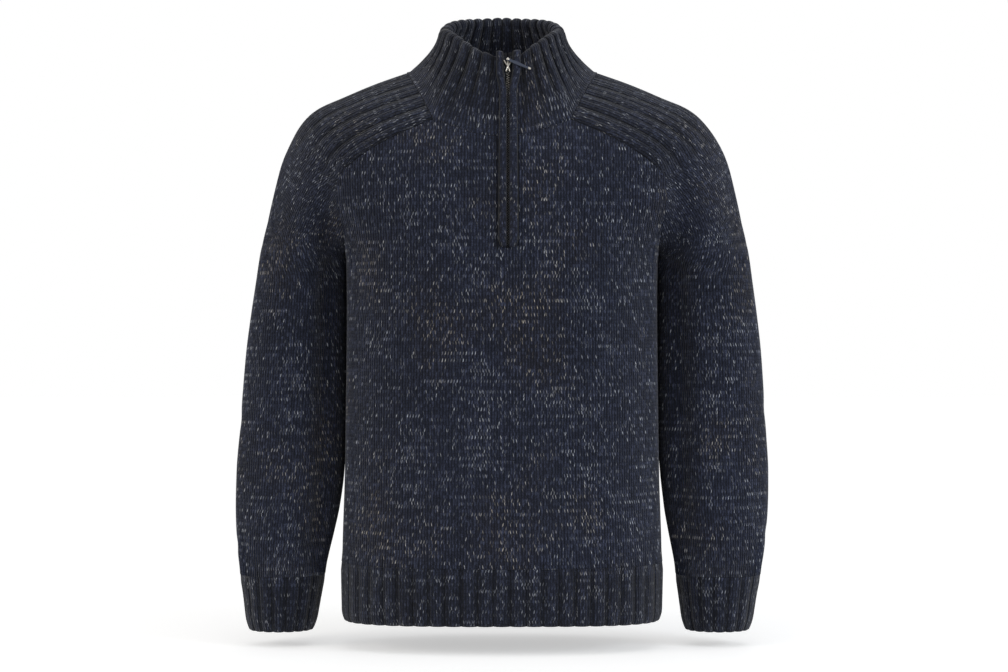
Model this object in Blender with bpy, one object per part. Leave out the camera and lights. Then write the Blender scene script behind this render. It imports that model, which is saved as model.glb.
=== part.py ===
"""Half-zip knitted sweater with saddle shoulders and a ribbed stand collar.

The garment is filled out as if it were worn, with nobody in it. Every piece that is
knitted and sewn on is one closed wall of cloth: a grid of outer points and a grid of
inner points, one wall thickness further in. Ridges and ribs are raised in the outer
points over a plain inside.

+X is the viewer's right, the front faces -Y and +Z is up. The origin is the middle of
the neck at the height of the shoulder points. Tables and sizes are in millimetres and
become metres where a mesh is made.
"""

import math

import bmesh
import bpy
import numpy as np
from mathutils import Matrix

MM = 0.001
LEVEL = np.array((1.0, 1.0, 0.0))       # leaves a direction without its climb

# ---------------------------------------------------------------- driving dimensions

WALL = 3.0              # thickness of the knitted cloth
SEAM_GAP = 0.3          # between two pieces that are sewn together
HEM_TOP = -609.0        # where the plain knit of the body ends and the rib starts
HEM_BOTTOM = -676.0
UNDERARM = -235.0
CUFF_TOP = -626.0
CUFF_BOTTOM = -692.0
BACK_NECK = 8.0         # middle of the back neck seam
ZIP_X = 7.2             # the zip runs a little to the right of the middle
SLIT_WIDTH = 6.4        # between the two cut edges under the bindings
ZIP_BOTTOM = -222.0
ZIP_END_CLEARANCE = 1.5
RIDGES = 8              # raised ridges across each saddle
RIDGE_RISE = 2.6
HEM_RIBS = 27           # on the front, and as many on the back
HEM_RIB_RISE = 2.4
CUFF_RIBS = 18
CUFF_RIB_RISE = 2.0
COLLAR_RIBS = 34
COLLAR_RIB_RISE = 2.2

# Half width of the body, its depth in front of and behind the widest line, and how
# square the section is (2 is an ellipse), from the neck down.
BODY_COLUMNS = ("height", "half_width", "front", "back", "squareness")
BODY = (
    (14, 84, 46, 70, 2.00),
    (0, 117, 58, 80, 2.00),
    (-22, 171, 71, 89, 2.00),
    (-46, 228, 86, 97, 2.05),
    (-66, 240, 97, 102, 2.10),
    (-88, 243, 107, 106, 2.15),
    (-120, 241, 116, 111, 2.25),
    (-165, 228, 122, 115, 2.35),
    (-200, 207, 125, 117, 2.40),
    (-235, 194, 127, 118, 2.45),
    (-300, 193, 128, 116, 2.45),
    (-400, 194, 128, 113, 2.45),
    (-500, 195.5, 127, 113, 2.45),
    (-609, 198.5, 126, 116, 2.45),
    (-676, 198, 125, 118, 2.45),
)

# Sections of the sleeve from the neck to the underarm. Front and back are points of the
# saddle seams, top is the shoulder line. The pulls are the handle lengths of the two
# curves of a section, and tuck turns them from lying on with the body, at 0, to running
# fore and aft beside it, at 1.
SADDLE_COLUMNS = ("front_x", "front_height", "top_x", "top_y", "top_height",
                  "back_x", "back_height", "front_seam_pull", "front_top_pull",
                  "back_top_pull", "back_seam_pull", "tuck")
SADDLE = (
    (84, -66.6, 119, 5, -2, 78, 4, 38, 34, 24, 22, 0.0),
    (123.7, -83.6, 157, 5, -16, 116, -20, 40, 40, 34, 30, 0.0),
    (156.5, -100.6, 199, 6, -33.5, 148, -42, 42, 42, 38, 34, 0.0),
    (179, -115.7, 230, 8, -47.5, 172, -66, 42, 42, 42, 38, 0.0),
    (192.7, -127.5, 250, 11, -65, 188, -92, 42, 42, 44, 42, 0.0),
    (201.3, -143.3, 264.5, 14, -87, 197, -120, 44, 42, 48, 46, 0.05),
    (201.7, -164.6, 276, 17, -112, 201, -148, 46, 44, 58, 52, 0.15),
    (197, -188, 285.5, 20, -147, 199, -180, 46, 50, 74, 58, 0.35),
    (194.5, -214, 294.5, 23, -186, 196.5, -210, 52, 60, 84, 66, 0.62),
    (194, UNDERARM, 303.5, 25, -224, 194, UNDERARM, 80, 84, 106, 96, 1.0),
)

# Sections of the sleeve and the cuff below the underarm.
ARM_COLUMNS = ("height", "outer_x", "inner_x", "middle_y", "half_depth")
ARM = (
    (-262, 309, 194.6, 23, 72),
    (-300, 315, 194.4, 25, 71),
    (-350, 321.5, 194.8, 24, 67),
    (-400, 325.5, 195.3, 21, 64),
    (-450, 329, 196.2, 17, 62),
    (-500, 332.5, 198.5, 13, 61),
    (-540, 333, 203.5, 9, 59.5),
    (-575, 332, 211, 8, 58),
    (-600, 330, 217, 6, 56),
    (CUFF_TOP, 326, 222.5, 4, 53),
    (-650, 322, 227, 3, 49),
    (-675, 319, 231.5, 2, 45),
    (CUFF_BOTTOM, 317, 234.5, 2, 42),
)

# The sleeve on the viewer's right hangs a little wider, and its cuff closer in.
RIGHT_LEAN_COLUMNS = ("height", "shift")
RIGHT_LEAN = ((0, 3), (-60, 4), (-100, 7), (-235, 6), (-350, 4), (-500, 1), (-600, -3),
              (CUFF_BOTTOM, -7))

LEAN_WIDTH = 60.0       # over which the lean grows, outwards and downwards

# Front neck seam: half distance from the middle and height, from the saddle inwards.
NECK_COLUMNS = ("half_x", "height")
NECK = ((84, -66.6), (70, -71.5), (53, -77), (28, -85), (0, -88.3))

# Collar: angle round from the front, height of the rim, and how the wall leaves the
# seam (how far in and up its lower handle goes) and meets the rim (how far out and down
# its upper handle goes).
COLLAR_COLUMNS = ("angle", "rim", "low_in", "low_up", "high_out", "high_down")
COLLAR = (
    (0, 16, 7, 34, 8, 34),
    (20, 19, 8, 32, 8, 33),
    (31, 27, 9, 28, 8, 32),
    (51, 41, 14, 20, 7, 32),
    (70, 49, 15, 14, 7, 31),
    (90, 53, 13, 13, 6, 30),
    (105, 61, 13, 13, 6, 29),
    (120, 67, 12, 14, 5, 28),
    (140, 71.5, 11, 15, 5, 26),
    (180, 75, 6, 18, 4, 24),
)
RIM_HALF_WIDTH = 75.5
RIM_HALF_DEPTH = 76.0
RIM_MIDDLE_Y = -6.0

# Zip: bindings, tapes, chain, slider and pull tab.
BINDING_INNER = 1.2     # from the middle of the zip to the near edge of a binding
BINDING_PARTED = 5.6    # the same beside the slider
BINDING_WIDTHS = {"left": 10.8, "right": 12.0}
BINDING_RISE = 3.4
TAPE_INNER = 1.0        # from the middle of the zip to the near edge of a tape
TAPE_OUTER = 12.0
TAPE_THICKNESS = 1.0
CHAIN_HALF_WIDTH = 1.9
SLIDER_HEIGHT = 5.3     # of the stud that holds the pull tab
SLIDER_THICKNESS = 2.0
STUD_RADIUS = 1.1
STUD_HEAD_RADIUS = 2.1
PULL_LENGTH = 30.5
PULL_WIDTH = 4.6
PULL_THICKNESS = 1.8
PULL_DROOP = math.radians(24)   # below level, towards the viewer's right

NAVY = (0.024, 0.027, 0.041)
NAVY_RIB = (0.020, 0.022, 0.034)
NAVY_BINDING = (0.023, 0.025, 0.039)
TAPE_NAVY = (0.010, 0.011, 0.018)
PALE_METAL = (0.72, 0.66, 0.54)
PULL_NAVY = (0.035, 0.042, 0.070)


# ---------------------------------------------------------------- curves and tables

def columns_of(table, names):
    """The table's columns as arrays, by name."""
    values = np.array(table, dtype=float)
    return {name: values[:, place] for place, name in enumerate(names)}


def smooth_curve(knots, values, at):
    """Value between the knots on a curve with no overshoot (a monotone cubic)."""
    order = np.argsort(knots)
    x = np.asarray(knots, dtype=float)[order]
    y = np.asarray(values, dtype=float)[order]
    step = np.diff(x)
    rise = np.diff(y) / step
    slope = np.concatenate((rise[:1], np.zeros(len(x) - 2), rise[-1:]))
    same_way = rise[:-1] * rise[1:] > 0
    before = 2 * step[1:] + step[:-1]
    after = step[1:] + 2 * step[:-1]
    mean = (before + after) / (before / np.where(same_way, rise[:-1], 1)
                               + after / np.where(same_way, rise[1:], 1))
    slope[1:-1] = np.where(same_way, mean, 0)
    at = np.clip(np.asarray(at, dtype=float), x[0], x[-1])
    cell = np.clip(np.searchsorted(x, at) - 1, 0, len(x) - 2)
    t = (at - x[cell]) / step[cell]
    return (y[cell] * (1 + 2 * t) * (1 - t) ** 2
            + slope[cell] * step[cell] * t * (1 - t) ** 2
            + y[cell + 1] * t ** 2 * (3 - 2 * t)
            + slope[cell + 1] * step[cell] * t ** 2 * (t - 1))


def unit(vectors):
    """The vectors at length 1."""
    return vectors / np.linalg.norm(vectors, axis=-1, keepdims=True)


def along(points, places):
    """Points at the given places, 0 to 1 by length, on the line through the points."""
    length = np.concatenate(((0,), np.cumsum(np.linalg.norm(np.diff(points, axis=0), axis=1))))
    return np.stack([np.interp(places, length / length[-1], points[:, axis])
                     for axis in range(3)], axis=-1)


def bezier(a, b, c, d, t):
    """Cubic curve from a to d with handles b and c."""
    t = t[..., None]
    return (1 - t) ** 3 * a + 3 * (1 - t) ** 2 * t * b + 3 * (1 - t) * t ** 2 * c + t ** 3 * d


def rib_rise(columns, phase_steps=3):
    """0 in the furrow between two ribs and 1 on the two columns that make its top."""
    return np.where(np.arange(columns) % phase_steps == 0, 0.0, 1.0)


def rib_places(ribs):
    """Places across a run of ribs: a furrow, then the two edges of the rib's top."""
    across = (np.arange(ribs)[:, None] + np.array((0.0, 0.3, 0.7))).ravel()
    return np.append(across, ribs) / ribs


# ---------------------------------------------------------------- body form

BODY_TABLE = columns_of(BODY, BODY_COLUMNS)


def body(name, height):
    """One measure of the body form at a height."""
    return smooth_curve(BODY_TABLE["height"], BODY_TABLE[name], height)


def body_point(turn, height):
    """Point on the body form; turn is 0 at the middle front and a half circle behind."""
    turn, height = np.broadcast_arrays(np.asarray(turn, float), np.asarray(height, float))
    power = 2 / body("squareness", height)
    sine, cosine = np.sin(turn), np.cos(turn)
    depth = np.where(cosine > 0, body("front", height), body("back", height))
    x = body("half_width", height) * np.sign(sine) * np.abs(sine) ** power
    y = -depth * np.sign(cosine) * np.abs(cosine) ** power
    return np.stack((x, y, height), axis=-1)


def body_normal(turn, height):
    """Direction out of the body form."""
    small_turn, small_rise = 0.002, 0.5
    round_it = body_point(turn + small_turn, height) - body_point(turn - small_turn, height)
    up_it = body_point(turn, height + small_rise) - body_point(turn, height - small_rise)
    return unit(np.cross(round_it, up_it))


def body_turn(x, height):
    """Turn of the front point at a distance x from the middle."""
    share = np.clip(np.abs(x) / body("half_width", height), 0, 1)
    return np.sign(x) * np.arcsin(share ** (body("squareness", height) / 2))


def reach(height):
    """Half width that the columns of a panel spread over: the body's, and above the chest
    the shoulders' full width, so that no two columns cross."""
    widest = BODY_TABLE["half_width"].argmax()
    return body("half_width", np.minimum(height, BODY_TABLE["height"][widest]))


def spread_of(x, height):
    """Angle that places a distance from the middle within the reach at a height."""
    share = np.clip(np.abs(x) / reach(height), 0, 1)
    return np.sign(x) * np.arcsin(share ** (body("squareness", height) / 2))


def turn_of(spread, height):
    """Turn on the front of the body form for such an angle."""
    sine = np.sin(spread)
    x = reach(height) * np.sign(sine) * np.abs(sine) ** (2 / body("squareness", height))
    return body_turn(x, height)


# ---------------------------------------------------------------- seams

SADDLE_TABLE = columns_of(SADDLE, SADDLE_COLUMNS)
ARM_TABLE = columns_of(ARM, ARM_COLUMNS)
NECK_TABLE = columns_of(NECK, NECK_COLUMNS)
COLLAR_TABLE = columns_of(COLLAR, COLLAR_COLUMNS)
RIGHT_LEAN_TABLE = columns_of(RIGHT_LEAN, RIGHT_LEAN_COLUMNS)

NECK_STEPS = 5                  # across the front neck, on each side of the slit
BACK_NECK_STEPS = 12
LOWER_ROWS = 8
UPPER_ROWS = 5
SLIT_LEFT = ZIP_X - SLIT_WIDTH / 2
SLIT_RIGHT = ZIP_X + SLIT_WIDTH / 2
FRONT_NECK = NECK_TABLE["height"][-1]


def panel_rows():
    """Shares of the way from hem to top edge; one row ends the slit of the zip."""
    slit_share = (ZIP_BOTTOM - HEM_TOP) / (FRONT_NECK - HEM_TOP)
    lower = np.linspace(0, slit_share, LOWER_ROWS + 1)
    upper = np.linspace(slit_share, 1, UPPER_ROWS + 1)
    return np.concatenate((lower, upper[1:]))


def front_top_edge():
    """Spreads and heights along the front panel's top edge, from side seam to side seam."""
    seam_height = SADDLE_TABLE["front_height"]
    seam_spread = spread_of(SADDLE_TABLE["front_x"], seam_height)
    corner = SADDLE_TABLE["front_x"][0]
    left_x = np.linspace(-corner, SLIT_LEFT, NECK_STEPS + 1)[1:]
    right_x = np.linspace(SLIT_RIGHT, corner, NECK_STEPS + 1)[:-1]
    neck_x = np.concatenate((left_x, right_x))
    neck_height = smooth_curve(NECK_TABLE["half_x"], NECK_TABLE["height"], np.abs(neck_x))
    neck_spread = spread_of(neck_x, neck_height)
    spreads = np.concatenate((-seam_spread[::-1], neck_spread, seam_spread))
    heights = np.concatenate((seam_height[::-1], neck_height, seam_height))
    return spreads, heights


def back_top_edge():
    """Spreads and heights along the back panel's top edge, as seen from the front."""
    seam_height = SADDLE_TABLE["back_height"]
    seam_spread = spread_of(SADDLE_TABLE["back_x"], seam_height)
    share = np.linspace(-1, 1, BACK_NECK_STEPS + 1)[1:-1]
    neck_height = BACK_NECK + (seam_height[0] - BACK_NECK) * share ** 2
    neck_spread = spread_of(share * SADDLE_TABLE["back_x"][0], neck_height)
    spreads = np.concatenate((-seam_spread[::-1], neck_spread, seam_spread))
    heights = np.concatenate((seam_height[::-1], neck_height, seam_height))
    return spreads, heights


def turns_by_length(first, last, height, steps):
    """Turns from first to last that are evenly spaced round the body at one height."""
    fine = np.linspace(first, last, 400)
    length = np.cumsum(np.linalg.norm(np.diff(body_point(fine, height), axis=0), axis=1))
    length = np.concatenate(((0,), length))
    return np.interp(np.linspace(0, length[-1], steps + 1), length, fine)


def edge_direction(points, normals):
    """Direction in the cloth, square to an edge that runs round the garment."""
    return unit(np.cross(normals, np.gradient(points, axis=0)))


# ---------------------------------------------------------------- closed meshes

def new_object(name, verts, faces, colour, roughness=0.95, metallic=0.0):
    """An object in the garment's collection, from points in millimetres."""
    mesh = bpy.data.meshes.new(name)
    mesh.from_pydata([tuple(point) for point in np.asarray(verts) * MM], [], faces)
    mesh.validate()
    mesh.shade_smooth()
    mesh.set_sharp_from_angle(angle=math.radians(40))
    piece = bpy.data.objects.new(name, mesh)
    garment.objects.link(piece)
    piece.data.materials.append(material(name, colour, roughness, metallic))
    return piece


def material(name, colour, roughness, metallic):
    """A plain finish in the piece's own colour."""
    finish = bpy.data.materials.new(name)
    finish.use_nodes = True
    shader = finish.node_tree.nodes["Principled BSDF"]
    shader.inputs["Base Color"].default_value = (*colour, 1)
    shader.inputs["Roughness"].default_value = roughness
    shader.inputs["Metallic"].default_value = metallic
    return finish


def wall(name, outer, inner, colour, kept=None):
    """A closed wall between two grids of points, rows by columns.

    Going along a row and then to the next one turns anticlockwise as seen from outside.
    Cells that are not kept leave a hole that is walled all round.
    """
    rows, columns = outer.shape[:2]
    if kept is None:
        kept = np.ones((rows - 1, columns - 1), dtype=bool)
    back = rows * columns
    verts = np.concatenate((outer.reshape(-1, 3), inner.reshape(-1, 3)))
    faces = []
    edges = set()
    for row, column in zip(*np.nonzero(kept)):
        first = row * columns + column
        corners = (first, first + 1, first + columns + 1, first + columns)
        for triangle in split_cell(verts, corners):
            faces.append(triangle)
            faces.append(tuple(back + corner for corner in reversed(triangle)))
        edges.update(zip(corners, corners[1:] + corners[:1]))
    for start, end in sorted(edges):
        if (end, start) not in edges:
            faces += split_cell(verts, (end, start, back + start, back + end), hollow=True)
    used = sorted({corner for face in faces for corner in face})
    place = {corner: number for number, corner in enumerate(used)}
    faces = [tuple(place[corner] for corner in face) for face in faces]
    return new_object(name, verts[used], faces, colour)


def split_cell(verts, corners, hollow=False):
    """Two triangles of a cell, split on the diagonal that stands further out, or, for the
    edge of a seam, on the one that stands further in and so away from its neighbour."""
    a, b, c, d = corners
    outward = np.cross(verts[c] - verts[a], verts[d] - verts[b])
    bulges = np.dot(verts[a] + verts[c] - verts[b] - verts[d], outward) >= 0
    if bulges != hollow:
        return (a, b, c), (a, c, d)
    return (a, b, d), (b, c, d)


def loft(name, loops, colour, roughness=0.95, metallic=0.0):
    """A closed solid through loops of points, with a flat face at each end."""
    rows, columns = loops.shape[:2]
    faces = [tuple(range(columns)), tuple(range((rows - 1) * columns, rows * columns))[::-1]]
    for row in range(rows - 1):
        for column in range(columns):
            first = row * columns + column
            after = row * columns + (column + 1) % columns
            faces.append((after, first, first + columns, after + columns))
    return new_object(name, loops.reshape(-1, 3), faces, colour, roughness, metallic)


# ---------------------------------------------------------------- front and back

def panel(name, spreads, heights, bottom_spreads, kept=None):
    """A body panel, ruled from the hem to its top edge on the body form."""
    share = panel_rows()[:, None]
    spread = (1 - share) * bottom_spreads + share * spreads
    height = (1 - share) * HEM_TOP + share * heights
    turn = turn_of(spread, height)
    if name == "back":
        turn = math.pi - turn[:, ::-1]
    outer = body_point(turn, height)
    normals = body_normal(turn, height)
    half_gap = SEAM_GAP / 2
    outer[-1] += half_gap * into_panel(outer, normals)
    outer[0, :, 2] += half_gap
    side_shift = half_gap if name == "back" else -half_gap
    outer[:, (0, -1), 1] += side_shift
    inner = outer - WALL * normals
    wall(name, outer, inner, NAVY, kept)
    return body_point(turn, height)


def into_panel(outer, normals):
    """Directions in the cloth from a panel's top edge down into the panel."""
    direction = edge_direction(outer[-1], normals[-1])
    down = outer[-2] - outer[-1]
    return direction * np.sign(np.sum(direction * down, axis=-1, keepdims=True))


def front_panel():
    """The front, with a slit from the neck down to the end of the zip."""
    spreads, heights = front_top_edge()
    half = len(spreads) // 2
    left = turns_by_length(-math.pi / 2, body_turn(SLIT_LEFT, HEM_TOP), HEM_TOP, half - 1)
    right = turns_by_length(body_turn(SLIT_RIGHT, HEM_TOP), math.pi / 2, HEM_TOP, half - 1)
    kept = np.ones((LOWER_ROWS + UPPER_ROWS, len(spreads) - 1), dtype=bool)
    kept[LOWER_ROWS:, half - 1] = False
    return panel("front", spreads, heights, np.concatenate((left, right)), kept)


def back_panel():
    """The back, from side seam to side seam."""
    spreads, heights = back_top_edge()
    bottom = turns_by_length(-math.pi / 2, math.pi / 2, HEM_TOP, len(spreads) - 1)
    return panel("back", spreads, heights, bottom)


# ---------------------------------------------------------------- sleeves and cuffs

SECTION_STEPS = RIDGES * 3 // 2     # from a seam of the sleeve to its top line
CUFF_RISE = (0.0, 0.8, 0.9, 1.0)    # of its ribs, by row


def seam_points(kind):
    """Points, outward normals and directions off the body along a saddle seam (+X side)."""
    heights = SADDLE_TABLE[kind + "_height"]
    turns = body_turn(SADDLE_TABLE[kind + "_x"], heights)
    if kind == "back":
        turns = math.pi - turns
    points = body_point(turns, heights)
    normals = body_normal(turns, heights)
    off = edge_direction(points, normals)
    outward = top_points()[:len(points)] - points
    off *= np.sign(np.sum(off * outward, axis=-1, keepdims=True))
    return points, normals, off


def top_points():
    """The shoulder line, from the neck to the level of the underarm (+X side)."""
    return np.stack([SADDLE_TABLE["top_" + axis] for axis in ("x", "y", "height")], axis=-1)


def tucked(direction, tuck, fore_aft):
    """A direction off the body, turned level and fore (-1) or aft (+1) by its tuck."""
    azimuth = np.arctan2(direction[:, 1], direction[:, 0])
    azimuth = (1 - tuck) * azimuth + tuck * fore_aft * math.pi / 2
    climb = np.arcsin(np.clip(direction[:, 2], -1, 1)) * (1 - tuck)
    return np.stack((np.cos(climb) * np.cos(azimuth), np.cos(climb) * np.sin(azimuth),
                     np.sin(climb)), axis=-1)


def half_section(start, start_handle, end_handle, end, steps):
    """Evenly spaced points and tangents of one curve of each section."""
    fine = np.linspace(0, 1, 120)
    points, tangents = [], []
    for a, b, c, d in zip(start, start_handle, end_handle, end):
        curve = bezier(a, b, c, d, fine)
        length = np.concatenate(((0,), np.cumsum(np.linalg.norm(np.diff(curve, axis=0), axis=1))))
        t = np.interp(np.linspace(0, length[-1], steps + 1), length, fine)
        points.append(bezier(a, b, c, d, t))
        small = 0.002
        ahead = bezier(a, b, c, d, np.minimum(t + small, 1))
        behind = bezier(a, b, c, d, np.maximum(t - small, 0))
        tangents.append(unit(ahead - behind))
    return np.array(points), np.array(tangents)


def sleeve_sections():
    """Grid of outer points and tangents, front seam over the top to back seam (+X side)."""
    table = SADDLE_TABLE
    tuck = table["tuck"]
    front, _, front_off = seam_points("front")
    back, _, back_off = seam_points("back")
    top = top_points()
    half_gap = SEAM_GAP / 2
    front = front + half_gap * front_off
    back = back + half_gap * back_off
    under = np.array((body("half_width", UNDERARM) + SEAM_GAP, half_gap, UNDERARM))
    front[-1] = under * (1, -1, 1)
    back[-1] = under
    level = np.array((0.0, 1.0, 0.0))
    pull = {name: table[name][:, None] for name in SADDLE_COLUMNS if name.endswith("pull")}
    front_handle = front + pull["front_seam_pull"] * tucked(front_off, tuck, -1)
    back_handle = back + pull["back_seam_pull"] * tucked(back_off, tuck, 1)
    top_front_handle = top - pull["front_top_pull"] * level
    top_back_handle = top + pull["back_top_pull"] * level

    arm = ARM_TABLE
    inner = np.stack((arm["inner_x"], arm["middle_y"], arm["height"]), axis=-1)
    outer = np.stack((arm["outer_x"], arm["middle_y"], arm["height"]), axis=-1)
    handle = 4 / 3 * arm["half_depth"][:, None] * level

    def both(upper, lower):
        return np.concatenate((upper, lower))

    front_half = half_section(both(front, inner - half_gap * level),
                              both(front_handle, inner - handle),
                              both(top_front_handle, outer - handle),
                              both(top, outer), SECTION_STEPS)
    back_half = half_section(both(top, outer), both(top_back_handle, outer + handle),
                             both(back_handle, inner + handle),
                             both(back, inner + half_gap * level), SECTION_STEPS)
    points, tangents = (np.concatenate((first, second[:, 1:]), axis=1)
                        for first, second in zip(front_half, back_half))
    return points, tangents


def ridge_fade(rows):
    """1 on the saddle and 0 on the arm, by row."""
    last_full, first_plain = 5, 8
    return np.clip((first_plain - np.arange(rows)) / (first_plain - last_full), 0, 1)


def side_grid(points, side):
    """A grid of the +X side put on one side, wound so that it faces outwards."""
    placed = points.copy()
    if side > 0:
        shift = smooth_curve(RIGHT_LEAN_TABLE["height"], RIGHT_LEAN_TABLE["shift"],
                             placed[..., 2])
        lean = np.clip((placed[..., 0] - SADDLE_TABLE["front_x"].max()) / LEAN_WIDTH, 0, 1)
        below = placed[..., 2] < UNDERARM
        lean = np.where(below, np.maximum(lean, arm_lean(placed[..., 2])), lean)
        placed[..., 0] += shift * lean
        return placed[:, ::-1]
    placed[..., 0] *= -1
    return placed


def arm_lean(height):
    """How far the inner side of the sleeve follows the lean: none until it clears the body."""
    clear_of_body = -480.0
    return np.clip((clear_of_body - height) / LEAN_WIDTH, 0, 1)


def sleeve(name, side):
    """A sleeve with its saddle: a strip over the shoulder that closes into a tube."""
    points, tangents = sleeve_sections()
    last = len(SADDLE) + [row[0] for row in ARM].index(CUFF_TOP)
    points, tangents = points[:last + 1], tangents[:last + 1]
    down = unit(np.gradient(points, axis=0))
    normals = unit(np.cross(down, tangents))
    normals[-1] = unit(normals[-1] * LEVEL)
    lies_on = np.clip(1 - 4 * SADDLE_TABLE["tuck"], 0, 1)[:, None]
    for column, kind in ((0, "front"), (-1, "back")):
        edge = normals[:len(SADDLE), column]
        edge[:] = unit((1 - lies_on) * edge + lies_on * seam_points(kind)[1])
    half_gap = SEAM_GAP / 2
    neck_edge = points[0].copy()
    points[0] += half_gap * down[0]
    points[-1, :, 2] += half_gap
    rise = RIDGE_RISE * ridge_fade(last + 1)[:, None] * rib_rise(points.shape[1])
    outer = side_grid(points + rise[..., None] * normals, side)
    inner = side_grid(points - WALL * normals, side)
    wall(name, outer, inner, NAVY)
    neck_edge = side_grid(neck_edge[None], side)[0]
    wrist = side_grid(points[-1:], side)[0]
    return neck_edge, wrist


def cuff(name, side, wrist):
    """A ribbed cuff that starts on the sleeve's last section."""
    points, _ = sleeve_sections()
    first = len(SADDLE) + [row[0] for row in ARM].index(CUFF_TOP)
    sections = side_grid(points[first:], side)
    places = rib_places(CUFF_RIBS)
    rows = np.stack([along(section, places) for section in sections])
    rows[0] = along(wrist, places)
    rows[0, :, 2] = CUFF_TOP - SEAM_GAP / 2
    down = unit(np.gradient(rows, axis=0))
    across = unit(np.gradient(rows, axis=1))
    normals = unit(np.cross(across, down))
    normals[0] = unit(normals[0] * LEVEL)
    seam_normals = unit(normals[:, 0] + normals[:, -1])
    normals[:, 0] = seam_normals
    normals[:, -1] = seam_normals
    rise = CUFF_RIB_RISE * np.array(CUFF_RISE)[:, None] * rib_rise(rows.shape[1])
    wall(name, rows + rise[..., None] * normals, rows - WALL * normals, NAVY_RIB)


# ---------------------------------------------------------------- ribbed hem

HEM_ROWS = (0.0, 0.12, 0.92, 1.0)
HEM_RISE = (0.0, 1.0, 1.0, 0.5)         # of its ribs, by row

def hem(name, top_edge, first, last):
    """Half of the ribbed hem, hung from a panel's lower edge."""
    places = rib_places(HEM_RIBS)
    steps = 400
    turns = turns_by_length(first, last, HEM_BOTTOM, steps)
    turns = np.interp(places, np.linspace(0, 1, steps + 1), turns)
    rows = [along(top_edge, places)]
    rows += [body_point(turns, HEM_TOP + share * (HEM_BOTTOM - HEM_TOP)) for share in HEM_ROWS[1:]]
    rows = np.stack(rows)
    rows[0, :, 2] -= SEAM_GAP / 2
    outward = body_normal(turns, (HEM_TOP + HEM_BOTTOM) / 2)[None]
    rise = HEM_RIB_RISE * np.array(HEM_RISE)[:, None] * rib_rise(rows.shape[1])
    side_shift = SEAM_GAP / 2 if name == "hem_back" else -SEAM_GAP / 2
    rows[:, (0, -1), 1] += side_shift
    outer = rows + rise[..., None] * outward
    inner = rows - WALL * outward
    wall(name, outer[::-1], inner[::-1], NAVY_RIB)


# ---------------------------------------------------------------- collar

RIM_START = -math.asin(SLIT_LEFT / RIM_HALF_WIDTH)
RIM_END = 2 * math.pi - math.asin(SLIT_RIGHT / RIM_HALF_WIDTH)
COLLAR_ROWS = (0.0, 0.16, 0.38, 0.62, 0.86, 1.0)
COLLAR_RISE = (0.0, 0.25, 0.8, 1.0, 1.0, 0.6)    # of its ribs, by row
FLAT_COLUMNS = 4                                 # of the collar under each binding


def collar_share(line):
    """Shares of the way round the collar for the points of the neck seam.

    A quarter is at the left shoulder point, a half at the middle of the back.
    """
    length = np.concatenate(((0,), np.cumsum(np.linalg.norm(np.diff(line, axis=0), axis=1))))
    left = np.argmin(line[:, 0])
    right = np.argmax(line[:, 0])
    behind = np.argmax(np.where(np.abs(line[:, 0]) < 1, line[:, 1], -1e9))
    knots = length[[0, left, behind, right, len(line) - 1]]
    return np.interp(length, knots, (0, 0.25, 0.5, 0.75, 1))


class Collar:
    """The collar's wall as a function of a share round it and a share up it."""

    def __init__(self, line):
        self.line = line
        self.shares = collar_share(line)

    def base(self, share):
        """Point of the neck seam."""
        return np.stack([np.interp(share, self.shares, self.line[:, axis])
                         for axis in range(3)], axis=-1)

    def curve(self, share):
        """The four control points of the wall's profile at a share round."""
        turn = np.interp(share, (0, 0.25, 0.5, 0.75, 1),
                         (RIM_START, math.pi / 2, math.pi, 1.5 * math.pi, RIM_END))
        angle = np.degrees(np.abs((turn + math.pi) % (2 * math.pi) - math.pi))
        shape = {name: smooth_curve(COLLAR_TABLE["angle"], COLLAR_TABLE[name], angle)[..., None]
                 for name in COLLAR_COLUMNS[1:]}
        out = np.stack((-np.sin(turn), -np.cos(turn), np.zeros_like(turn)), axis=-1)
        up = np.array((0.0, 0.0, 1.0))
        size = np.array((RIM_HALF_WIDTH, RIM_HALF_DEPTH, 0))
        rim = out * size + np.array((0, RIM_MIDDLE_Y, 0)) + shape["rim"] * up
        base = self.base(share)
        low = base - shape["low_in"] * out + shape["low_up"] * up
        high = rim + shape["high_out"] * out - shape["high_down"] * up
        return base, low, high, rim

    def point(self, share, climb):
        """Outer point at a share round and a share up."""
        share, climb = np.broadcast_arrays(share, climb)
        return bezier(*self.curve(share), climb)

    def normal(self, share, climb):
        """Direction out of the wall."""
        small = 0.004
        round_it = self.point(share + small, climb) - self.point(share - small, climb)
        up_it = (self.point(share, np.minimum(climb + small, 1))
                 - self.point(share, np.maximum(climb - small, 0)))
        return unit(np.cross(up_it, round_it))

    def share_at(self, x, climb, side):
        """Share round where the wall near the zip stands at a distance x."""
        near = np.linspace(0, 0.08, 80)
        shares = near if side < 0 else 1 - near
        run = self.point(shares, np.full_like(shares, climb))[:, 0]
        order = np.argsort(run)
        return np.interp(x, run[order], shares[order])


def collar_piece(collar):
    """The ribbed collar, open at the front where the zip goes on."""
    shares = rib_places(COLLAR_RIBS)
    climbs = np.array(COLLAR_ROWS)
    share, climb = np.meshgrid(shares, climbs)
    points = collar.point(share, climb)
    normals = collar.normal(np.clip(share, 0.004, 0.996), climb)
    points[0] += SEAM_GAP / 2 * unit(points[1] - points[0])
    rise = COLLAR_RIB_RISE * np.array(COLLAR_RISE)[:, None] * rib_rise(points.shape[1])
    rise[:, :FLAT_COLUMNS] = 0
    rise[:, -FLAT_COLUMNS:] = 0
    outer = points + rise[..., None] * normals
    inner = points - WALL * normals
    wall("collar", outer[::-1], inner[::-1], NAVY_RIB)


# ---------------------------------------------------------------- zip

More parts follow.
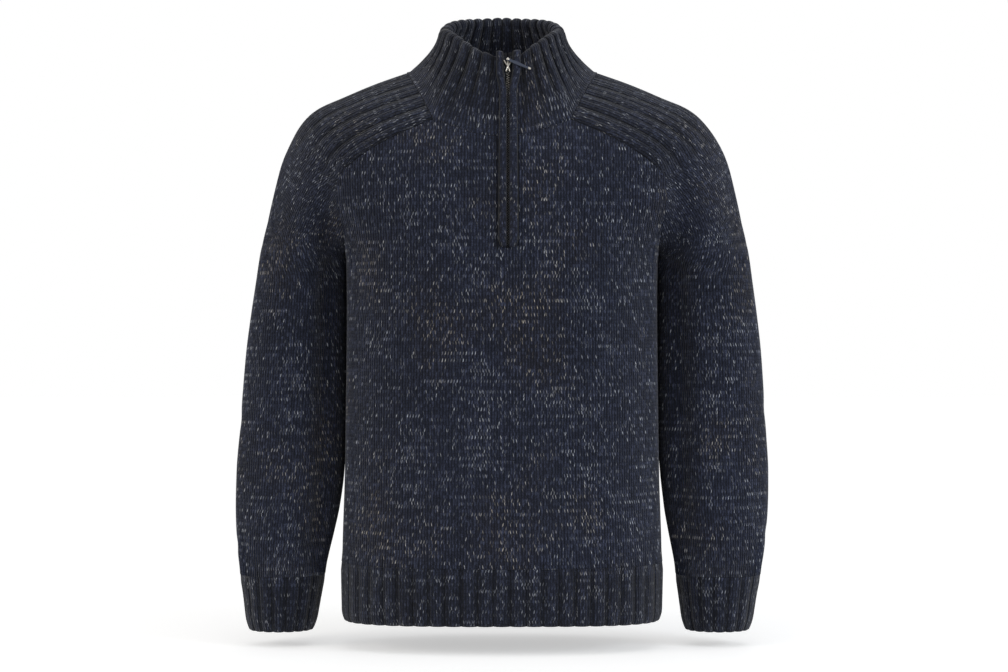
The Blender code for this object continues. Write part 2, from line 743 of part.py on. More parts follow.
def zip_heights():
    """Heights of the front panel's rows beside the slit, from its end to the neck."""
    share = panel_rows()[LOWER_ROWS:]
    return HEM_TOP + share * (FRONT_NECK - HEM_TOP)


def beside_zip(collar, x, side):
    """Points and normals up the front at a distance x, from the slit's end to the rim."""
    heights = zip_heights()[:-1]
    places = np.broadcast_to(x[:len(heights)], heights.shape)
    turns = body_turn(places, heights)
    points = [body_point(turns, heights)]
    normals = [body_normal(turns, heights)]
    for climb, place in zip(COLLAR_ROWS, x[len(heights):]):
        share = np.array([collar.share_at(place, climb, side)])
        level = np.array([climb])
        point = collar.point(share, level)
        point[:, 0] = place
        points.append(point)
        normals.append(collar.normal(np.clip(share, 0.004, 0.996), level))
    return np.concatenate(points), np.concatenate(normals)


def zip_rows():
    """Number of rows that a strip beside the zip has."""
    return UPPER_ROWS + len(COLLAR_ROWS)


def binding(collar, name, side):
    """A knitted tube sewn over one edge of the zip, parted beside the slider."""
    rows = zip_rows()
    width = np.full(rows, BINDING_WIDTHS[name])
    width[0] *= 0.35
    width[-2:] *= 0.8
    near = np.full(rows, BINDING_INNER)
    near[-2:] = BINDING_PARTED
    near[-3] = (BINDING_INNER + BINDING_PARTED) / 2
    low, low_out = beside_zip(collar, ZIP_X + side * near, side)
    far, far_out = beside_zip(collar, ZIP_X + side * (near + width), side)
    rise = np.full((rows, 1), BINDING_RISE)
    rise[0] *= 0.5
    lift = SEAM_GAP
    middle = far - low
    loops = np.stack((
        low + lift * low_out,
        far + lift * far_out,
        far + (lift + 0.5 * rise) * far_out,
        low + 0.75 * middle + (lift + rise) * far_out,
        low + 0.25 * middle + (lift + rise) * low_out,
        low + (lift + 0.5 * rise) * low_out,
    ), axis=1)
    if side < 0:
        loops = loops[:, ::-1]
    loft("binding_" + name, loops, NAVY_BINDING)


def strip(collar, name, side, near, far, shallow, deep, rows, colour, metallic=0.0):
    """A flat strip behind the opening, between two distances and two depths."""
    count = zip_rows()
    first, first_out = beside_zip(collar, np.full(count, ZIP_X + near), side)
    second, second_out = beside_zip(collar, np.full(count, ZIP_X + far), side)
    loops = np.stack((
        first - shallow * first_out,
        second - shallow * second_out,
        second - deep * second_out,
        first - deep * first_out,
    ), axis=1)[rows]
    loops[0, :, 2] += ZIP_END_CLEARANCE
    if near < far:
        loops = loops[:, ::-1]
    loft(name, loops, colour, 0.6, metallic)


def zip_strips(collar):
    """The two tapes behind the opening and the closed chain between its edges."""
    shallow = WALL + SEAM_GAP
    deep = shallow + TAPE_THICKNESS
    everywhere = slice(0, zip_rows())
    for side, name in ((-1, "zip_tape_left"), (1, "zip_tape_right")):
        strip(collar, name, side, side * TAPE_INNER, side * TAPE_OUTER, shallow, deep,
              everywhere, TAPE_NAVY)
    below_slider = slice(0, zip_rows() - 2)
    strip(collar, "zip_chain", -1, -CHAIN_HALF_WIDTH, CHAIN_HALF_WIDTH, 1.0, WALL,
          below_slider, PALE_METAL, 1.0)


def slider_frame(collar):
    """The stud's foot on the collar and the axes of the slider's face, in millimetres."""
    climbs = np.linspace(0.5, 1, 60)
    middle = (collar.point(np.full(60, 0.0), climbs) + collar.point(np.full(60, 1.0), climbs)) / 2
    foot = np.array([np.interp(SLIDER_HEIGHT, middle[:, 2], middle[:, axis])
                     for axis in range(3)])
    foot[0] = ZIP_X
    up = unit(np.array((0, *(middle[-1] - middle[0])[1:])))
    right = np.array((1.0, 0.0, 0.0))
    out = np.cross(right, up)
    return foot, right, up, out


def frame_matrix(place, right, up, out):
    """Matrix that puts local x, y and z on right, up and out at a place in millimetres."""
    matrix = Matrix.Identity(4)
    for column, axis in enumerate((right, up, out)):
        matrix.col[column][:3] = axis
    matrix.translation = place * MM
    return matrix


def plate(name, outlines, thickness, matrix, colour, metallic, roughness):
    """A flat plate from closed outlines in millimetres; an outline inside another is a hole."""
    curve = bpy.data.curves.new(name, "CURVE")
    curve.dimensions = "2D"
    curve.fill_mode = "BOTH"
    curve.extrude = thickness / 2 * MM
    for outline in outlines:
        spline = curve.splines.new("POLY")
        spline.points.add(len(outline) - 1)
        for point, (x, y) in zip(spline.points, outline):
            point.co = (x * MM, y * MM, 0, 1)
        spline.use_cyclic_u = True
    drawn = bpy.data.objects.new(name, curve)
    garment.objects.link(drawn)
    bpy.context.view_layer.update()
    depsgraph = bpy.context.evaluated_depsgraph_get()
    mesh = bpy.data.meshes.new_from_object(drawn.evaluated_get(depsgraph))
    bpy.data.objects.remove(drawn)
    welded = bmesh.new()
    welded.from_mesh(mesh)
    bmesh.ops.remove_doubles(welded, verts=welded.verts, dist=1e-6)
    bmesh.ops.recalc_face_normals(welded, faces=welded.faces)
    welded.to_mesh(mesh)
    welded.free()
    mesh.materials.clear()
    mesh.materials.append(material(name, colour, roughness, metallic))
    piece = bpy.data.objects.new(name, mesh)
    piece.matrix_world = matrix
    garment.objects.link(piece)
    return piece


def round_outline(radius, steps=16, middle=(0, 0)):
    """A circle as a closed outline."""
    angles = np.linspace(0, 2 * math.pi, steps, endpoint=False)
    return [(middle[0] + radius * math.cos(a), middle[1] + radius * math.sin(a)) for a in angles]


def slider_outline():
    """Two arms at the top that spread to the zip's edges, a waist and a flared foot."""
    right_side = ((1.2, 2.6), (4.6, 3.2), (5.2, 1.6), (2.6, -1.6), (2.2, -4.4), (3.2, -8.6),
                  (1.0, -9.4))
    left_side = tuple((-x, y) for x, y in reversed(right_side))
    return right_side[::-1] + left_side[::-1]


def pull_outline():
    """A slim tab with a round eye end, narrower towards its tip."""
    eye = PULL_WIDTH / 2
    angles = np.linspace(math.radians(40), math.radians(320), 10)
    head = [(eye * math.cos(a), eye * math.sin(a)) for a in angles]
    tail = [(PULL_LENGTH * 0.45, -eye * 0.85), (PULL_LENGTH * 0.75, -eye * 0.6),
            (PULL_LENGTH - 1.0, -eye * 0.5), (PULL_LENGTH, -eye * 0.25)]
    return head + tail + [(x, -y) for x, y in reversed(tail)]


def cylinder(name, radius, length, matrix):
    """A round cutter that is joined to a plate."""
    mesh = bpy.data.meshes.new(name)
    shape = bmesh.new()
    bmesh.ops.create_cone(shape, cap_ends=True, segments=16, radius1=radius * MM,
                          radius2=radius * MM, depth=length * MM)
    shape.to_mesh(mesh)
    shape.free()
    tool = bpy.data.objects.new(name, mesh)
    tool.matrix_world = matrix
    tool.hide_render = True
    tool.display_type = "WIRE"
    cutters.objects.link(tool)
    return tool


def slider_and_pull(collar):
    """The metal slider with its stud, and the tab whose eye turns on the stud."""
    foot, right, up, out = slider_frame(collar)
    lift = SEAM_GAP + SLIDER_THICKNESS / 2
    slider = plate("zip_slider", [slider_outline()], SLIDER_THICKNESS,
                   frame_matrix(foot + lift * out, right, up, out), PALE_METAL, 1.0, 0.3)
    pull_level = SEAM_GAP * 2 + BINDING_RISE + PULL_THICKNESS / 2
    head_thickness = 0.8
    head_level = pull_level + PULL_THICKNESS / 2 + SEAM_GAP + head_thickness / 2
    stud_bottom = SEAM_GAP + SLIDER_THICKNESS / 2
    parts = (
        ("stud", STUD_RADIUS, head_level - stud_bottom, (head_level + stud_bottom) / 2),
        ("stud_head", STUD_HEAD_RADIUS, head_thickness, head_level),
    )
    for name, radius, length, level in parts:
        tool = cylinder(name, radius, length, frame_matrix(foot + level * out, right, up, out))
        join = slider.modifiers.new(name, "BOOLEAN")
        join.operation = "UNION"
        join.object = tool
    swing = frame_matrix(foot + pull_level * out, right, up, out)
    swing = swing @ Matrix.Rotation(-PULL_DROOP, 4, "Z")
    eye_hole = round_outline(STUD_RADIUS + SEAM_GAP)
    plate("zip_pull", [pull_outline(), eye_hole], PULL_THICKNESS, swing, PULL_NAVY, 0.0, 0.55)


# ---------------------------------------------------------------- assembly

for old in list(bpy.data.objects):
    bpy.data.objects.remove(old, do_unlink=True)

garment = bpy.data.collections.new("half_zip_sweater")
cutters = bpy.data.collections.new("cutters")
bpy.context.scene.collection.children.link(garment)
bpy.context.scene.collection.children.link(cutters)

front_grid = front_panel()
back_grid = back_panel()
left_neck, left_wrist = sleeve("sleeve_left", -1)
right_neck, right_wrist = sleeve("sleeve_right", 1)
cuff("cuff_left", -1, left_wrist)
cuff("cuff_right", 1, right_wrist)
hem("hem_front", front_grid[0], -math.pi / 2, math.pi / 2)
hem("hem_back", back_grid[0], math.pi / 2, 1.5 * math.pi)

saddle_rows = len(SADDLE)
front_top, back_top = front_grid[-1], back_grid[-1]
neck_line = np.concatenate((
    front_top[saddle_rows - 1:saddle_rows + NECK_STEPS][::-1],
    left_neck[1:-1],
    back_top[saddle_rows - 1:len(back_top) - saddle_rows + 1][::-1],
    right_neck[1:-1],
    front_top[saddle_rows + NECK_STEPS:len(front_top) - saddle_rows + 1][::-1],
))
neck_collar = Collar(neck_line)
collar_piece(neck_collar)
binding(neck_collar, "left", -1)
binding(neck_collar, "right", 1)
zip_strips(neck_collar)
slider_and_pull(neck_collar)
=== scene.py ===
"""Half-zip knitted sweater: its yarn, stitches, ribs, zip and studio.

Laid out as an add-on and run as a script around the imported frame. Tables and sizes are in
millimetres, with +X to the viewer's right, the front facing -Y and +Z up, and become
metres where a mesh is made.
"""

import math
from functools import partial

import bmesh
import bpy
import numpy as np
from mathutils import Matrix


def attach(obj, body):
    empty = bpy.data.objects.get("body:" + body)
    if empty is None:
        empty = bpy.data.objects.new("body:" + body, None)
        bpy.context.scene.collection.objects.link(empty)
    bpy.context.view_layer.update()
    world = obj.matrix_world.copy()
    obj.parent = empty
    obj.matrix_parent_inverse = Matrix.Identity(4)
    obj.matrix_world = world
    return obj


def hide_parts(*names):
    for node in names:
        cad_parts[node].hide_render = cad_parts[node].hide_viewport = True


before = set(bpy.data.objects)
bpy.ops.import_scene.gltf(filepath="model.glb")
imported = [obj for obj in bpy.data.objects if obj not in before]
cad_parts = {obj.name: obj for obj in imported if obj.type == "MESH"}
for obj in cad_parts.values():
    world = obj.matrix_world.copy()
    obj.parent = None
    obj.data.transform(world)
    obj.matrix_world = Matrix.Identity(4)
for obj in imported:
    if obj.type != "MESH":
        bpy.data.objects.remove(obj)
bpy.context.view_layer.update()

bl_info = {
    "name": "Half-zip sweater",
    "version": (1, 0, 0),
    "blender": (4, 5, 0),
    "location": "View3D > Sidebar > Sweater",
    "description": "Builds a chunky knitted half-zip sweater piece by piece",
    "category": "Object",
}

MM = 0.001

# ---------------------------------------------------------------- form of the garment

WALL = 3.0
SEAM_GAP = 0.3
HEM_TOP = -609.0
HEM_BOTTOM = -676.0
UNDERARM = -235.0
CUFF_TOP = -626.0
CUFF_BOTTOM = -692.0
BACK_NECK = 8.0
ZIP_X = 7.2
SLIT_WIDTH = 6.4
ZIP_BOTTOM = -222.0
SLIT_LEFT = ZIP_X - SLIT_WIDTH / 2
SLIT_RIGHT = ZIP_X + SLIT_WIDTH / 2
RIDGES = 8
RIDGE_RISE = 2.6
HEM_RIBS = 27
HEM_RIB_RISE = 2.4
CUFF_RIBS = 18
CUFF_RIB_RISE = 2.0
COLLAR_RIBS = 34
COLLAR_RIB_RISE = 2.2

BODY_COLUMNS = ("height", "half_width", "front", "back", "squareness")
BODY = (
    (14, 84, 46, 70, 2.00),
    (0, 117, 58, 80, 2.00),
    (-22, 171, 71, 89, 2.00),
    (-46, 228, 86, 97, 2.05),
    (-66, 240, 97, 102, 2.10),
    (-88, 243, 107, 106, 2.15),
    (-120, 241, 116, 111, 2.25),
    (-165, 228, 122, 115, 2.35),
    (-200, 207, 125, 117, 2.40),
    (-235, 194, 127, 118, 2.45),
    (-300, 193, 128, 116, 2.45),
    (-400, 194, 128, 113, 2.45),
    (-500, 195.5, 127, 113, 2.45),
    (-609, 198.5, 126, 116, 2.45),
    (-676, 198, 125, 118, 2.45),
)

SADDLE_COLUMNS = ("front_x", "front_height", "top_x", "top_y", "top_height",
                  "back_x", "back_height", "front_seam_pull", "front_top_pull",
                  "back_top_pull", "back_seam_pull", "tuck")
SADDLE = (
    (84, -66.6, 119, 5, -2, 78, 4, 38, 34, 24, 22, 0.0),
    (123.7, -83.6, 157, 5, -16, 116, -20, 40, 40, 34, 30, 0.0),
    (156.5, -100.6, 199, 6, -33.5, 148, -42, 42, 42, 38, 34, 0.0),
    (179, -115.7, 230, 8, -47.5, 172, -66, 42, 42, 42, 38, 0.0),
    (192.7, -127.5, 250, 11, -65, 188, -92, 42, 42, 44, 42, 0.0),
    (201.3, -143.3, 264.5, 14, -87, 197, -120, 44, 42, 48, 46, 0.05),
    (201.7, -164.6, 276, 17, -112, 201, -148, 46, 44, 58, 52, 0.15),
    (197, -188, 285.5, 20, -147, 199, -180, 46, 50, 74, 58, 0.35),
    (194.5, -214, 294.5, 23, -186, 196.5, -210, 52, 60, 84, 66, 0.62),
    (194, UNDERARM, 303.5, 25, -224, 194, UNDERARM, 80, 84, 106, 96, 1.0),
)

ARM_COLUMNS = ("height", "outer_x", "inner_x", "middle_y", "half_depth")
ARM = (
    (-262, 309, 194.6, 23, 72),
    (-300, 315, 194.4, 25, 71),
    (-350, 321.5, 194.8, 24, 67),
    (-400, 325.5, 195.3, 21, 64),
    (-450, 329, 196.2, 17, 62),
    (-500, 332.5, 198.5, 13, 61),
    (-540, 333, 203.5, 9, 59.5),
    (-575, 332, 211, 8, 58),
    (-600, 330, 217, 6, 56),
    (CUFF_TOP, 326, 222.5, 4, 53),
    (-650, 322, 227, 3, 49),
    (-675, 319, 231.5, 2, 45),
    (CUFF_BOTTOM, 317, 234.5, 2, 42),
)

RIGHT_LEAN_COLUMNS = ("height", "shift")
RIGHT_LEAN = ((0, 3), (-60, 4), (-100, 7), (-235, 6), (-350, 4), (-500, 1), (-600, -3),
              (CUFF_BOTTOM, -7))
LEAN_WIDTH = 60.0
LEAN_START_X = 201.7
CLEAR_OF_BODY = -480.0

NECK_COLUMNS = ("half_x", "height")
NECK = ((84, -66.6), (70, -71.5), (53, -77), (28, -85), (0, -88.3))

COLLAR_COLUMNS = ("angle", "rim", "low_in", "low_up", "high_out", "high_down")
COLLAR = (
    (0, 16, 7, 34, 8, 34),
    (20, 19, 8, 32, 8, 33),
    (31, 27, 9, 28, 8, 32),
    (51, 41, 14, 20, 7, 32),
    (70, 49, 16, 15, 4, 31),
    (90, 53, 16, 15, 2, 31),
    (105, 61, 15, 14, 3, 30),
    (120, 67, 12, 14, 5, 28),
    (140, 71.5, 11, 15, 5, 26),
    (180, 75, 6, 18, 4, 24),
)
COLLAR_RISE_COLUMNS = ("climb", "rise")
COLLAR_RISE = ((0, 0), (0.12, 0.04), (0.28, 0.25), (0.5, 0.75), (0.72, 1), (0.9, 1), (1, 0.95))
RIM_HALF_WIDTH = 75.5
RIM_HALF_DEPTH = 76.0
RIM_MIDDLE_Y = -6.0

BINDING_MEETS = 0.7
BINDING_PARTED = 5.6
BINDING_WIDTHS = {"left": 10.8, "right": 12.0}
BINDING_RISE = 5.8
TAPE_INNER = 1.0
TAPE_OUTER = 12.0
SLIDER_HEIGHT = 5.3
PULL_DROOP = math.radians(24)
PULL_LENGTH = 30.5

# Soft folds: each row is a line in space, from x, y and z to x, y and z, then the distance at which
# the fold has faded to a third, and its depth, below 0 for a swell.
BODY_FOLDS = (
    (-197, -50, -222, -150, -112, -262, 13, 3.2),
    (-196, -40, -262, -132, -118, -330, 17, 2.4),
    (-190, -70, -240, -120, -120, -286, 12, -1.6),
    (198, -48, -226, 146, -112, -270, 14, 3.0),
    (196, -40, -270, 140, -118, -352, 18, 2.2),
    (191, -70, -246, 118, -121, -300, 12, -1.5),
    (-92, -126, -430, -120, -121, -596, 26, 2.0),
    (-40, -128, -360, -66, -128, -600, 34, -1.6),
    (84, -127, -390, 112, -122, -598, 28, 2.1),
    (30, -128, -430, 24, -127, -604, 36, -1.5),
    (-150, -112, -470, -170, -92, -600, 20, 1.8),
    (152, -112, -452, 174, -90, -600, 22, 1.9),
    (-196, 52, -232, -140, 104, -285, 14, 3.0),
    (-190, 60, -280, -118, 108, -372, 19, 2.4),
    (196, 52, -236, 146, 102, -292, 14, 3.2),
    (190, 62, -290, 124, 107, -360, 18, 2.2),
    (-70, 112, -380, -96, 112, -598, 30, 2.0),
    (62, 112, -420, 88, 113, -600, 28, 2.2),
    (4, 114, -300, -6, 114, -520, 38, -1.8),
    (-44, 108, -70, -10, 117, -190, 24, 1.6),
    (52, 108, -66, 22, 117, -210, 26, 1.5),
)
SLEEVE_FOLDS = (
    (206, -34, -392, 268, -44, -414, 13, 3.0),
    (210, -30, -440, 288, -40, -462, 15, 3.2),
    (214, -34, -418, 280, -46, -438, 10, -1.8),
    (222, -24, -486, 300, -34, -500, 14, 2.2),
    (198, 70, -404, 262, 86, -428, 16, 2.8),
    (204, 62, -452, 274, 78, -474, 15, 2.6),
    (326, 0, -430, 322, 50, -452, 13, 1.6),
    (210, -62, -140, 220, -40, -250, 20, 9.0),
    (215, -32, -210, 215, -30, -400, 18, 11.0),
    (215, -30, -370, 221, -33, -545, 18, 11.0),
    (221, -33, -510, 233, -33, -615, 14, 7.0),
    (250, -47, -232, 262, -44, -330, 17, 2.2),
    (216, 84, -214, 240, 96, -286, 14, 3.4),
    (266, 96, -250, 284, 88, -350, 18, 2.0),
    (232, -46, -590, 300, -48, -598, 9, 1.8),
    (226, 56, -584, 296, 64, -594, 10, 2.0),
    (330, -20, -586, 330, 40, -594, 9, 1.2),
    (240, -50, -560, 310, -48, -568, 12, -1.2),
)

# Rows and steps of the grids.
PANEL_ROWS = 120
SLEEVE_ROWS = 130
CUFF_ROWS = 20
HEM_ROWS = 22
COLLAR_ROWS = 44
RIB_STEPS = 8
SECTION_STEPS = 70
BINDING_ROWS = 200
BINDING_STEPS = 17
TAPE_ROWS = 80

# Ridges and wales by station down the sleeve: the ridges are gone at one station after fading
# over some, and the arm's wales grow from another over some.
RIDGES_GONE, RIDGES_FADE = 5.4, 1.9
ARM_WALES_START, ARM_WALES_GROW = 4.6, 4.4
RIDGE_FULLNESS = 0.85
# Groove along the middle of each saddle ridge: depth and width as shares of the ridge.
RIDGE_GROOVE, RIDGE_GROOVE_WIDTH = 0.5, 0.1
RIGHT_FOLD_SHIFT = 14.0
RIGHT_FOLD_DEPTH = 0.9

# Ribs of the hem and cuffs run up into the plain knit: how far, how steeply they fade there, their
# share of a full rib and of its painted shade.
RIB_RUN_UP = 16.0
RUN_UP_FADE = 1.5
RUN_UP_RISE = 0.5
RUN_UP_SHADE = 0.7
# Share of a band's height over which its ribs grow, and how much thicker a rib's wall is.
RIB_GROWTH = 0.3
RIB_BACK = 0.6
HEM_TAPER = 0.15
CUFF_TAPER = 0.12
# How far the last rows of hem and cuffs are drawn in, the share of the band's height where
# that starts and over which it grows, and how far their edges bow down.
EDGE_PULL = 2.6
HEM_PULL_START, HEM_PULL_GROW = 0.85, 0.15
CUFF_PULL_START, CUFF_PULL_GROW = 0.75, 0.25
HEM_DROP = 4.0
CUFF_DROP = 1.8
# Sway of the hem's lower edge: how far, its turn in radians from the middle to a side seam,
# and where the turn starts.
HEM_SWAY = 0.8
HEM_SWAY_TURN = 9.0
HEM_SWAY_START = {"front": 1.3, "back": 4.0}
# Length of sleeve above the cuff over which the folds die out.
FOLDS_FADE = 12.0

# Bead round the collar's foot: its height, and its middle and half width as shares of the
# climb. Then how many ribs stay smooth beside each binding.
COLLAR_FOOT_BEAD = 2.0
FOOT_BEAD_MIDDLE, FOOT_BEAD_WIDTH = 0.035, 0.03
COLLAR_SMOOTH_RIBS = 0.9
COLLAR_RIM_EXTRA = 11.0
COLLAR_ROLL_START = 0.93
COLLAR_FULLER = 1.5
COLLAR_BACK_FURROW = 2.6

# A binding's courses and the bead on each, and how many wales lie across it.
BINDING_COURSE = 3.6
BINDING_BEAD = 0.7
BINDING_WALES = 3.0
# Painted shadow in the knit beside each binding: distance from the binding, and half width, and how
# dark both are.
BESIDE_LEFT = (1.6, 2.2)
BESIDE_RIGHT = (1.0, 1.1)
BESIDE_SHADE = 0.9
# Width of the painted shade on each binding's roll: beside the zip, and on the far side.
NEAR_SHADE = 3.2
FAR_SHADE = {"left": 3.8, "right": 2.4}

# A tooth's rings from the back to the face: their level and their share of its half size.
TOOTH_PITCH = 3.0
TOOTH_HALF = (0.8, 0.6)
TOOTH_RINGS = ((-1.1, 1.0), (-0.1, 1.0), (0.35, 0.62))
TOOTH_OFFSET = 1.1
TEETH_START = 3.0
TEETH_BELOW_RIM = 16.0
TEETH_SUNK = 1.9
# Limbs of the slider in its own plane: start and end, half widths there, level and height.
SLIDER_LIMBS = (
    ((-5.2, 0.6), (0.3, -8.2), 1.0, 1.1, 1.2, 1.5),
    ((5.4, 0.6), (-0.3, -8.2), 1.0, 1.1, 1.2, 1.5),
    ((-0.2, -6.6), (-2.4, -14.6), 1.1, 0.9, 1.0, 1.4),
    ((0.2, -6.6), (2.6, -14.6), 1.1, 0.9, 1.0, 1.4),
    ((0, 1.2), (0, -8.2), 1.2, 1.1, 0.8, 1.1),
)
# Stud that holds the pull tab, turned round its axis: radius and level.
STUD_PROFILE = ((0, 0.5), (1.1, 0.6), (1.1, 5.9), (1.2, 6.1), (1.6, 6.15), (1.75, 6.35),
                (1.7, 6.6), (1.4, 6.8), (0.7, 6.9), (0, 6.92))

# Painted shade: share of its colour that the yarn keeps in ribs past their first courses, in the
# collar above its foot, and in the bindings as a darker copy of the same yarn.
RIB_SHADE_TONE = 0.77
COLLAR_SHADE_TONE = 0.72
EDGING_SHADE_TONE = 0.85
# Flecks in ribs and in the bindings, as a share of those in the plain knit.
RIB_FLECKS = 1.35
EDGING_FLECKS = 0.8


def columns_of(table, names):
    """The table's columns as arrays, by name."""
    values = np.array(table, dtype=float)
    return {name: values[:, place] for place, name in enumerate(names)}


BODY_TABLE = columns_of(BODY, BODY_COLUMNS)
SADDLE_TABLE = columns_of(SADDLE, SADDLE_COLUMNS)
ARM_TABLE = columns_of(ARM, ARM_COLUMNS)
LEAN_TABLE = columns_of(RIGHT_LEAN, RIGHT_LEAN_COLUMNS)
NECK_TABLE = columns_of(NECK, NECK_COLUMNS)
COLLAR_TABLE = columns_of(COLLAR, COLLAR_COLUMNS)
COLLAR_RISE_TABLE = columns_of(COLLAR_RISE, COLLAR_RISE_COLUMNS)


# ---------------------------------------------------------------- curves

def smooth_curve(knots, values, at):
    """Value on a monotone cubic through the knots: each cell is a Hermite cubic whose
    slopes are the weighted harmonic means of the rises on both sides."""
    order = np.argsort(knots)
    x = np.asarray(knots, dtype=float)[order]
    y = np.asarray(values, dtype=float)[order]
    step = np.diff(x)
    rise = np.diff(y) / step
    slope = np.concatenate((rise[:1], np.zeros(len(x) - 2), rise[-1:]))
    same_way = rise[:-1] * rise[1:] > 0
    before = 2 * step[1:] + step[:-1]
    after = step[1:] + 2 * step[:-1]
    mean = (before + after) / (before / np.where(same_way, rise[:-1], 1)
                               + after / np.where(same_way, rise[1:], 1))
    slope[1:-1] = np.where(same_way, mean, 0)
    at = np.clip(np.asarray(at, dtype=float), x[0], x[-1])
    cell = np.clip(np.searchsorted(x, at) - 1, 0, len(x) - 2)
    t = (at - x[cell]) / step[cell]
    return (y[cell] * (1 + 2 * t) * (1 - t) ** 2
            + slope[cell] * step[cell] * t * (1 - t) ** 2
            + y[cell + 1] * t ** 2 * (3 - 2 * t)
            + slope[cell + 1] * step[cell] * t ** 2 * (t - 1))


def unit(vectors):
    """The vectors at length 1."""
    return vectors / np.maximum(np.linalg.norm(vectors, axis=-1, keepdims=True), 1e-12)


def between(at, places, points):
    """Points at places along a line of points, axis by axis."""
    return np.stack([np.interp(at, places, points[:, axis]) for axis in range(3)], axis=-1)


def bezier(a, b, c, d, t):
    """Cubic curve from a to d with handles b and c."""
    t = t[..., None]
    return (1 - t) ** 3 * a + 3 * (1 - t) ** 2 * t * b + 3 * (1 - t) * t ** 2 * c + t ** 3 * d


def lengths(points, axis):
    """Length along one axis of a grid of points, from its first row or column."""
    steps = np.linalg.norm(np.diff(points, axis=axis), axis=-1)
    start = np.zeros_like(np.take(steps, [0], axis=axis))
    return np.cumsum(np.concatenate((start, steps), axis=axis), axis=axis)


def rib_top(place, sharpness=0.55):
    """Rise of a rib: 0 in the furrows at whole places and 1 half way, a sine half wave
    made fuller by a power below 1."""
    return np.abs(np.sin(math.pi * place)) ** sharpness


def fold_depth(points, table):
    """Sum of the folds' depths: each falls off as a bell of the distance to its line."""
    total = np.zeros(points.shape[:-1])
    for x0, y0, z0, x1, y1, z1, width, depth in table:
        start = np.array((x0, y0, z0), dtype=float)
        line = np.array((x1, y1, z1), dtype=float) - start
        place = np.clip((points - start) @ line / (line @ line), 0, 1)
        away = np.linalg.norm(points - start - place[..., None] * line, axis=-1)
        fade = np.sin(math.pi * (0.12 + 0.76 * place))
        total += depth * fade * np.exp(-(away / width) ** 2)
    return total


# ---------------------------------------------------------------- body form

def body(name, height):
    """One measure of the body form at a height."""
    return smooth_curve(BODY_TABLE["height"], BODY_TABLE[name], height)


def body_point(turn, height):
    """Point on the body form: a superellipse at each height, with its own depth in front
    and behind; turn is 0 at the middle front and a half circle behind."""
    turn, height = np.broadcast_arrays(np.asarray(turn, float), np.asarray(height, float))
    power = 2 / body("squareness", height)
    sine, cosine = np.sin(turn), np.cos(turn)
    depth = np.where(cosine > 0, body("front", height), body("back", height))
    x = body("half_width", height) * np.sign(sine) * np.abs(sine) ** power
    y = -depth * np.sign(cosine) * np.abs(cosine) ** power
    return np.stack((x, y, height), axis=-1)


def body_normal(turn, height):
    """Direction out of the body form: across its small steps round and up."""
    small_turn, small_rise = 0.002, 0.5
    round_it = body_point(turn + small_turn, height) - body_point(turn - small_turn, height)
    up_it = body_point(turn, height + small_rise) - body_point(turn, height - small_rise)
    return unit(np.cross(round_it, up_it))


def body_turn(x, height):
    """Turn of the front point at a distance x from the middle."""
    share = np.clip(np.abs(x) / body("half_width", height), 0, 1)
    return np.sign(x) * np.arcsin(share ** (body("squareness", height) / 2))


ARC_HEIGHTS = np.linspace(HEM_BOTTOM, BODY_TABLE["height"].max(), 230)
ARC_TURNS = math.pi / 2 * np.linspace(0, 1, 220) ** 0.8


def arc_table(kind):
    """Length round the body from the middle, by height and turn."""
    turns = ARC_TURNS if kind == "front" else math.pi - ARC_TURNS
    return lengths(body_point(turns[None], ARC_HEIGHTS[:, None]), 1)


ARCS = {kind: arc_table(kind) for kind in ("front", "back")}


def quarter(kind, height):
    """Length from the middle to the side seam at a height, the underarm's above it."""
    return np.interp(np.minimum(height, UNDERARM), ARC_HEIGHTS, ARCS[kind][:, -1])


def arc_to(kind, x, height):
    """Share of the quarter at which a point at a distance x from the middle lies."""
    turn = np.abs(body_turn(x, height))
    rows = np.clip((height - ARC_HEIGHTS[0]) / (ARC_HEIGHTS[1] - ARC_HEIGHTS[0]), 0,
                   len(ARC_HEIGHTS) - 1.001)
    low = rows.astype(int)
    arc = [np.array([np.interp(t, ARC_TURNS, ARCS[kind][r]) for t, r in zip(turn, low + k)])
           for k in (0, 1)]
    share = rows - low
    return np.sign(x) * ((1 - share) * arc[0] + share * arc[1]) / quarter(kind, height)


def turns_at(kind, shares, heights):
    """Turns of wales that keep their share of the quarter, at a height for each point."""
    table = np.stack([np.interp(np.abs(shares) * quarter(kind, h), arcs, ARC_TURNS)
                      for h, arcs in zip(ARC_HEIGHTS, ARCS[kind])])
    rows = np.clip((heights - ARC_HEIGHTS[0]) / (ARC_HEIGHTS[1] - ARC_HEIGHTS[0]), 0,
                   len(ARC_HEIGHTS) - 1.001)
    low = rows.astype(int)
    share = rows - low
    column = np.arange(len(shares))[None]
    turn = (1 - share) * table[low, column] + share * table[low + 1, column]
    turn = np.sign(shares) * turn
    return turn if kind == "front" else math.pi - turn


# ---------------------------------------------------------------- seams

def front_neck_height(x):
    """Height of the front neck seam at a distance from the middle."""
    return smooth_curve(NECK_TABLE["half_x"], NECK_TABLE["height"], np.abs(x))


def back_neck_height(x):
    """Height of the back neck seam: a parabola from the middle to the saddle."""
    corner = SADDLE_TABLE["back_x"][0]
    return BACK_NECK + (SADDLE_TABLE["back_height"][0] - BACK_NECK) * (x / corner) ** 2


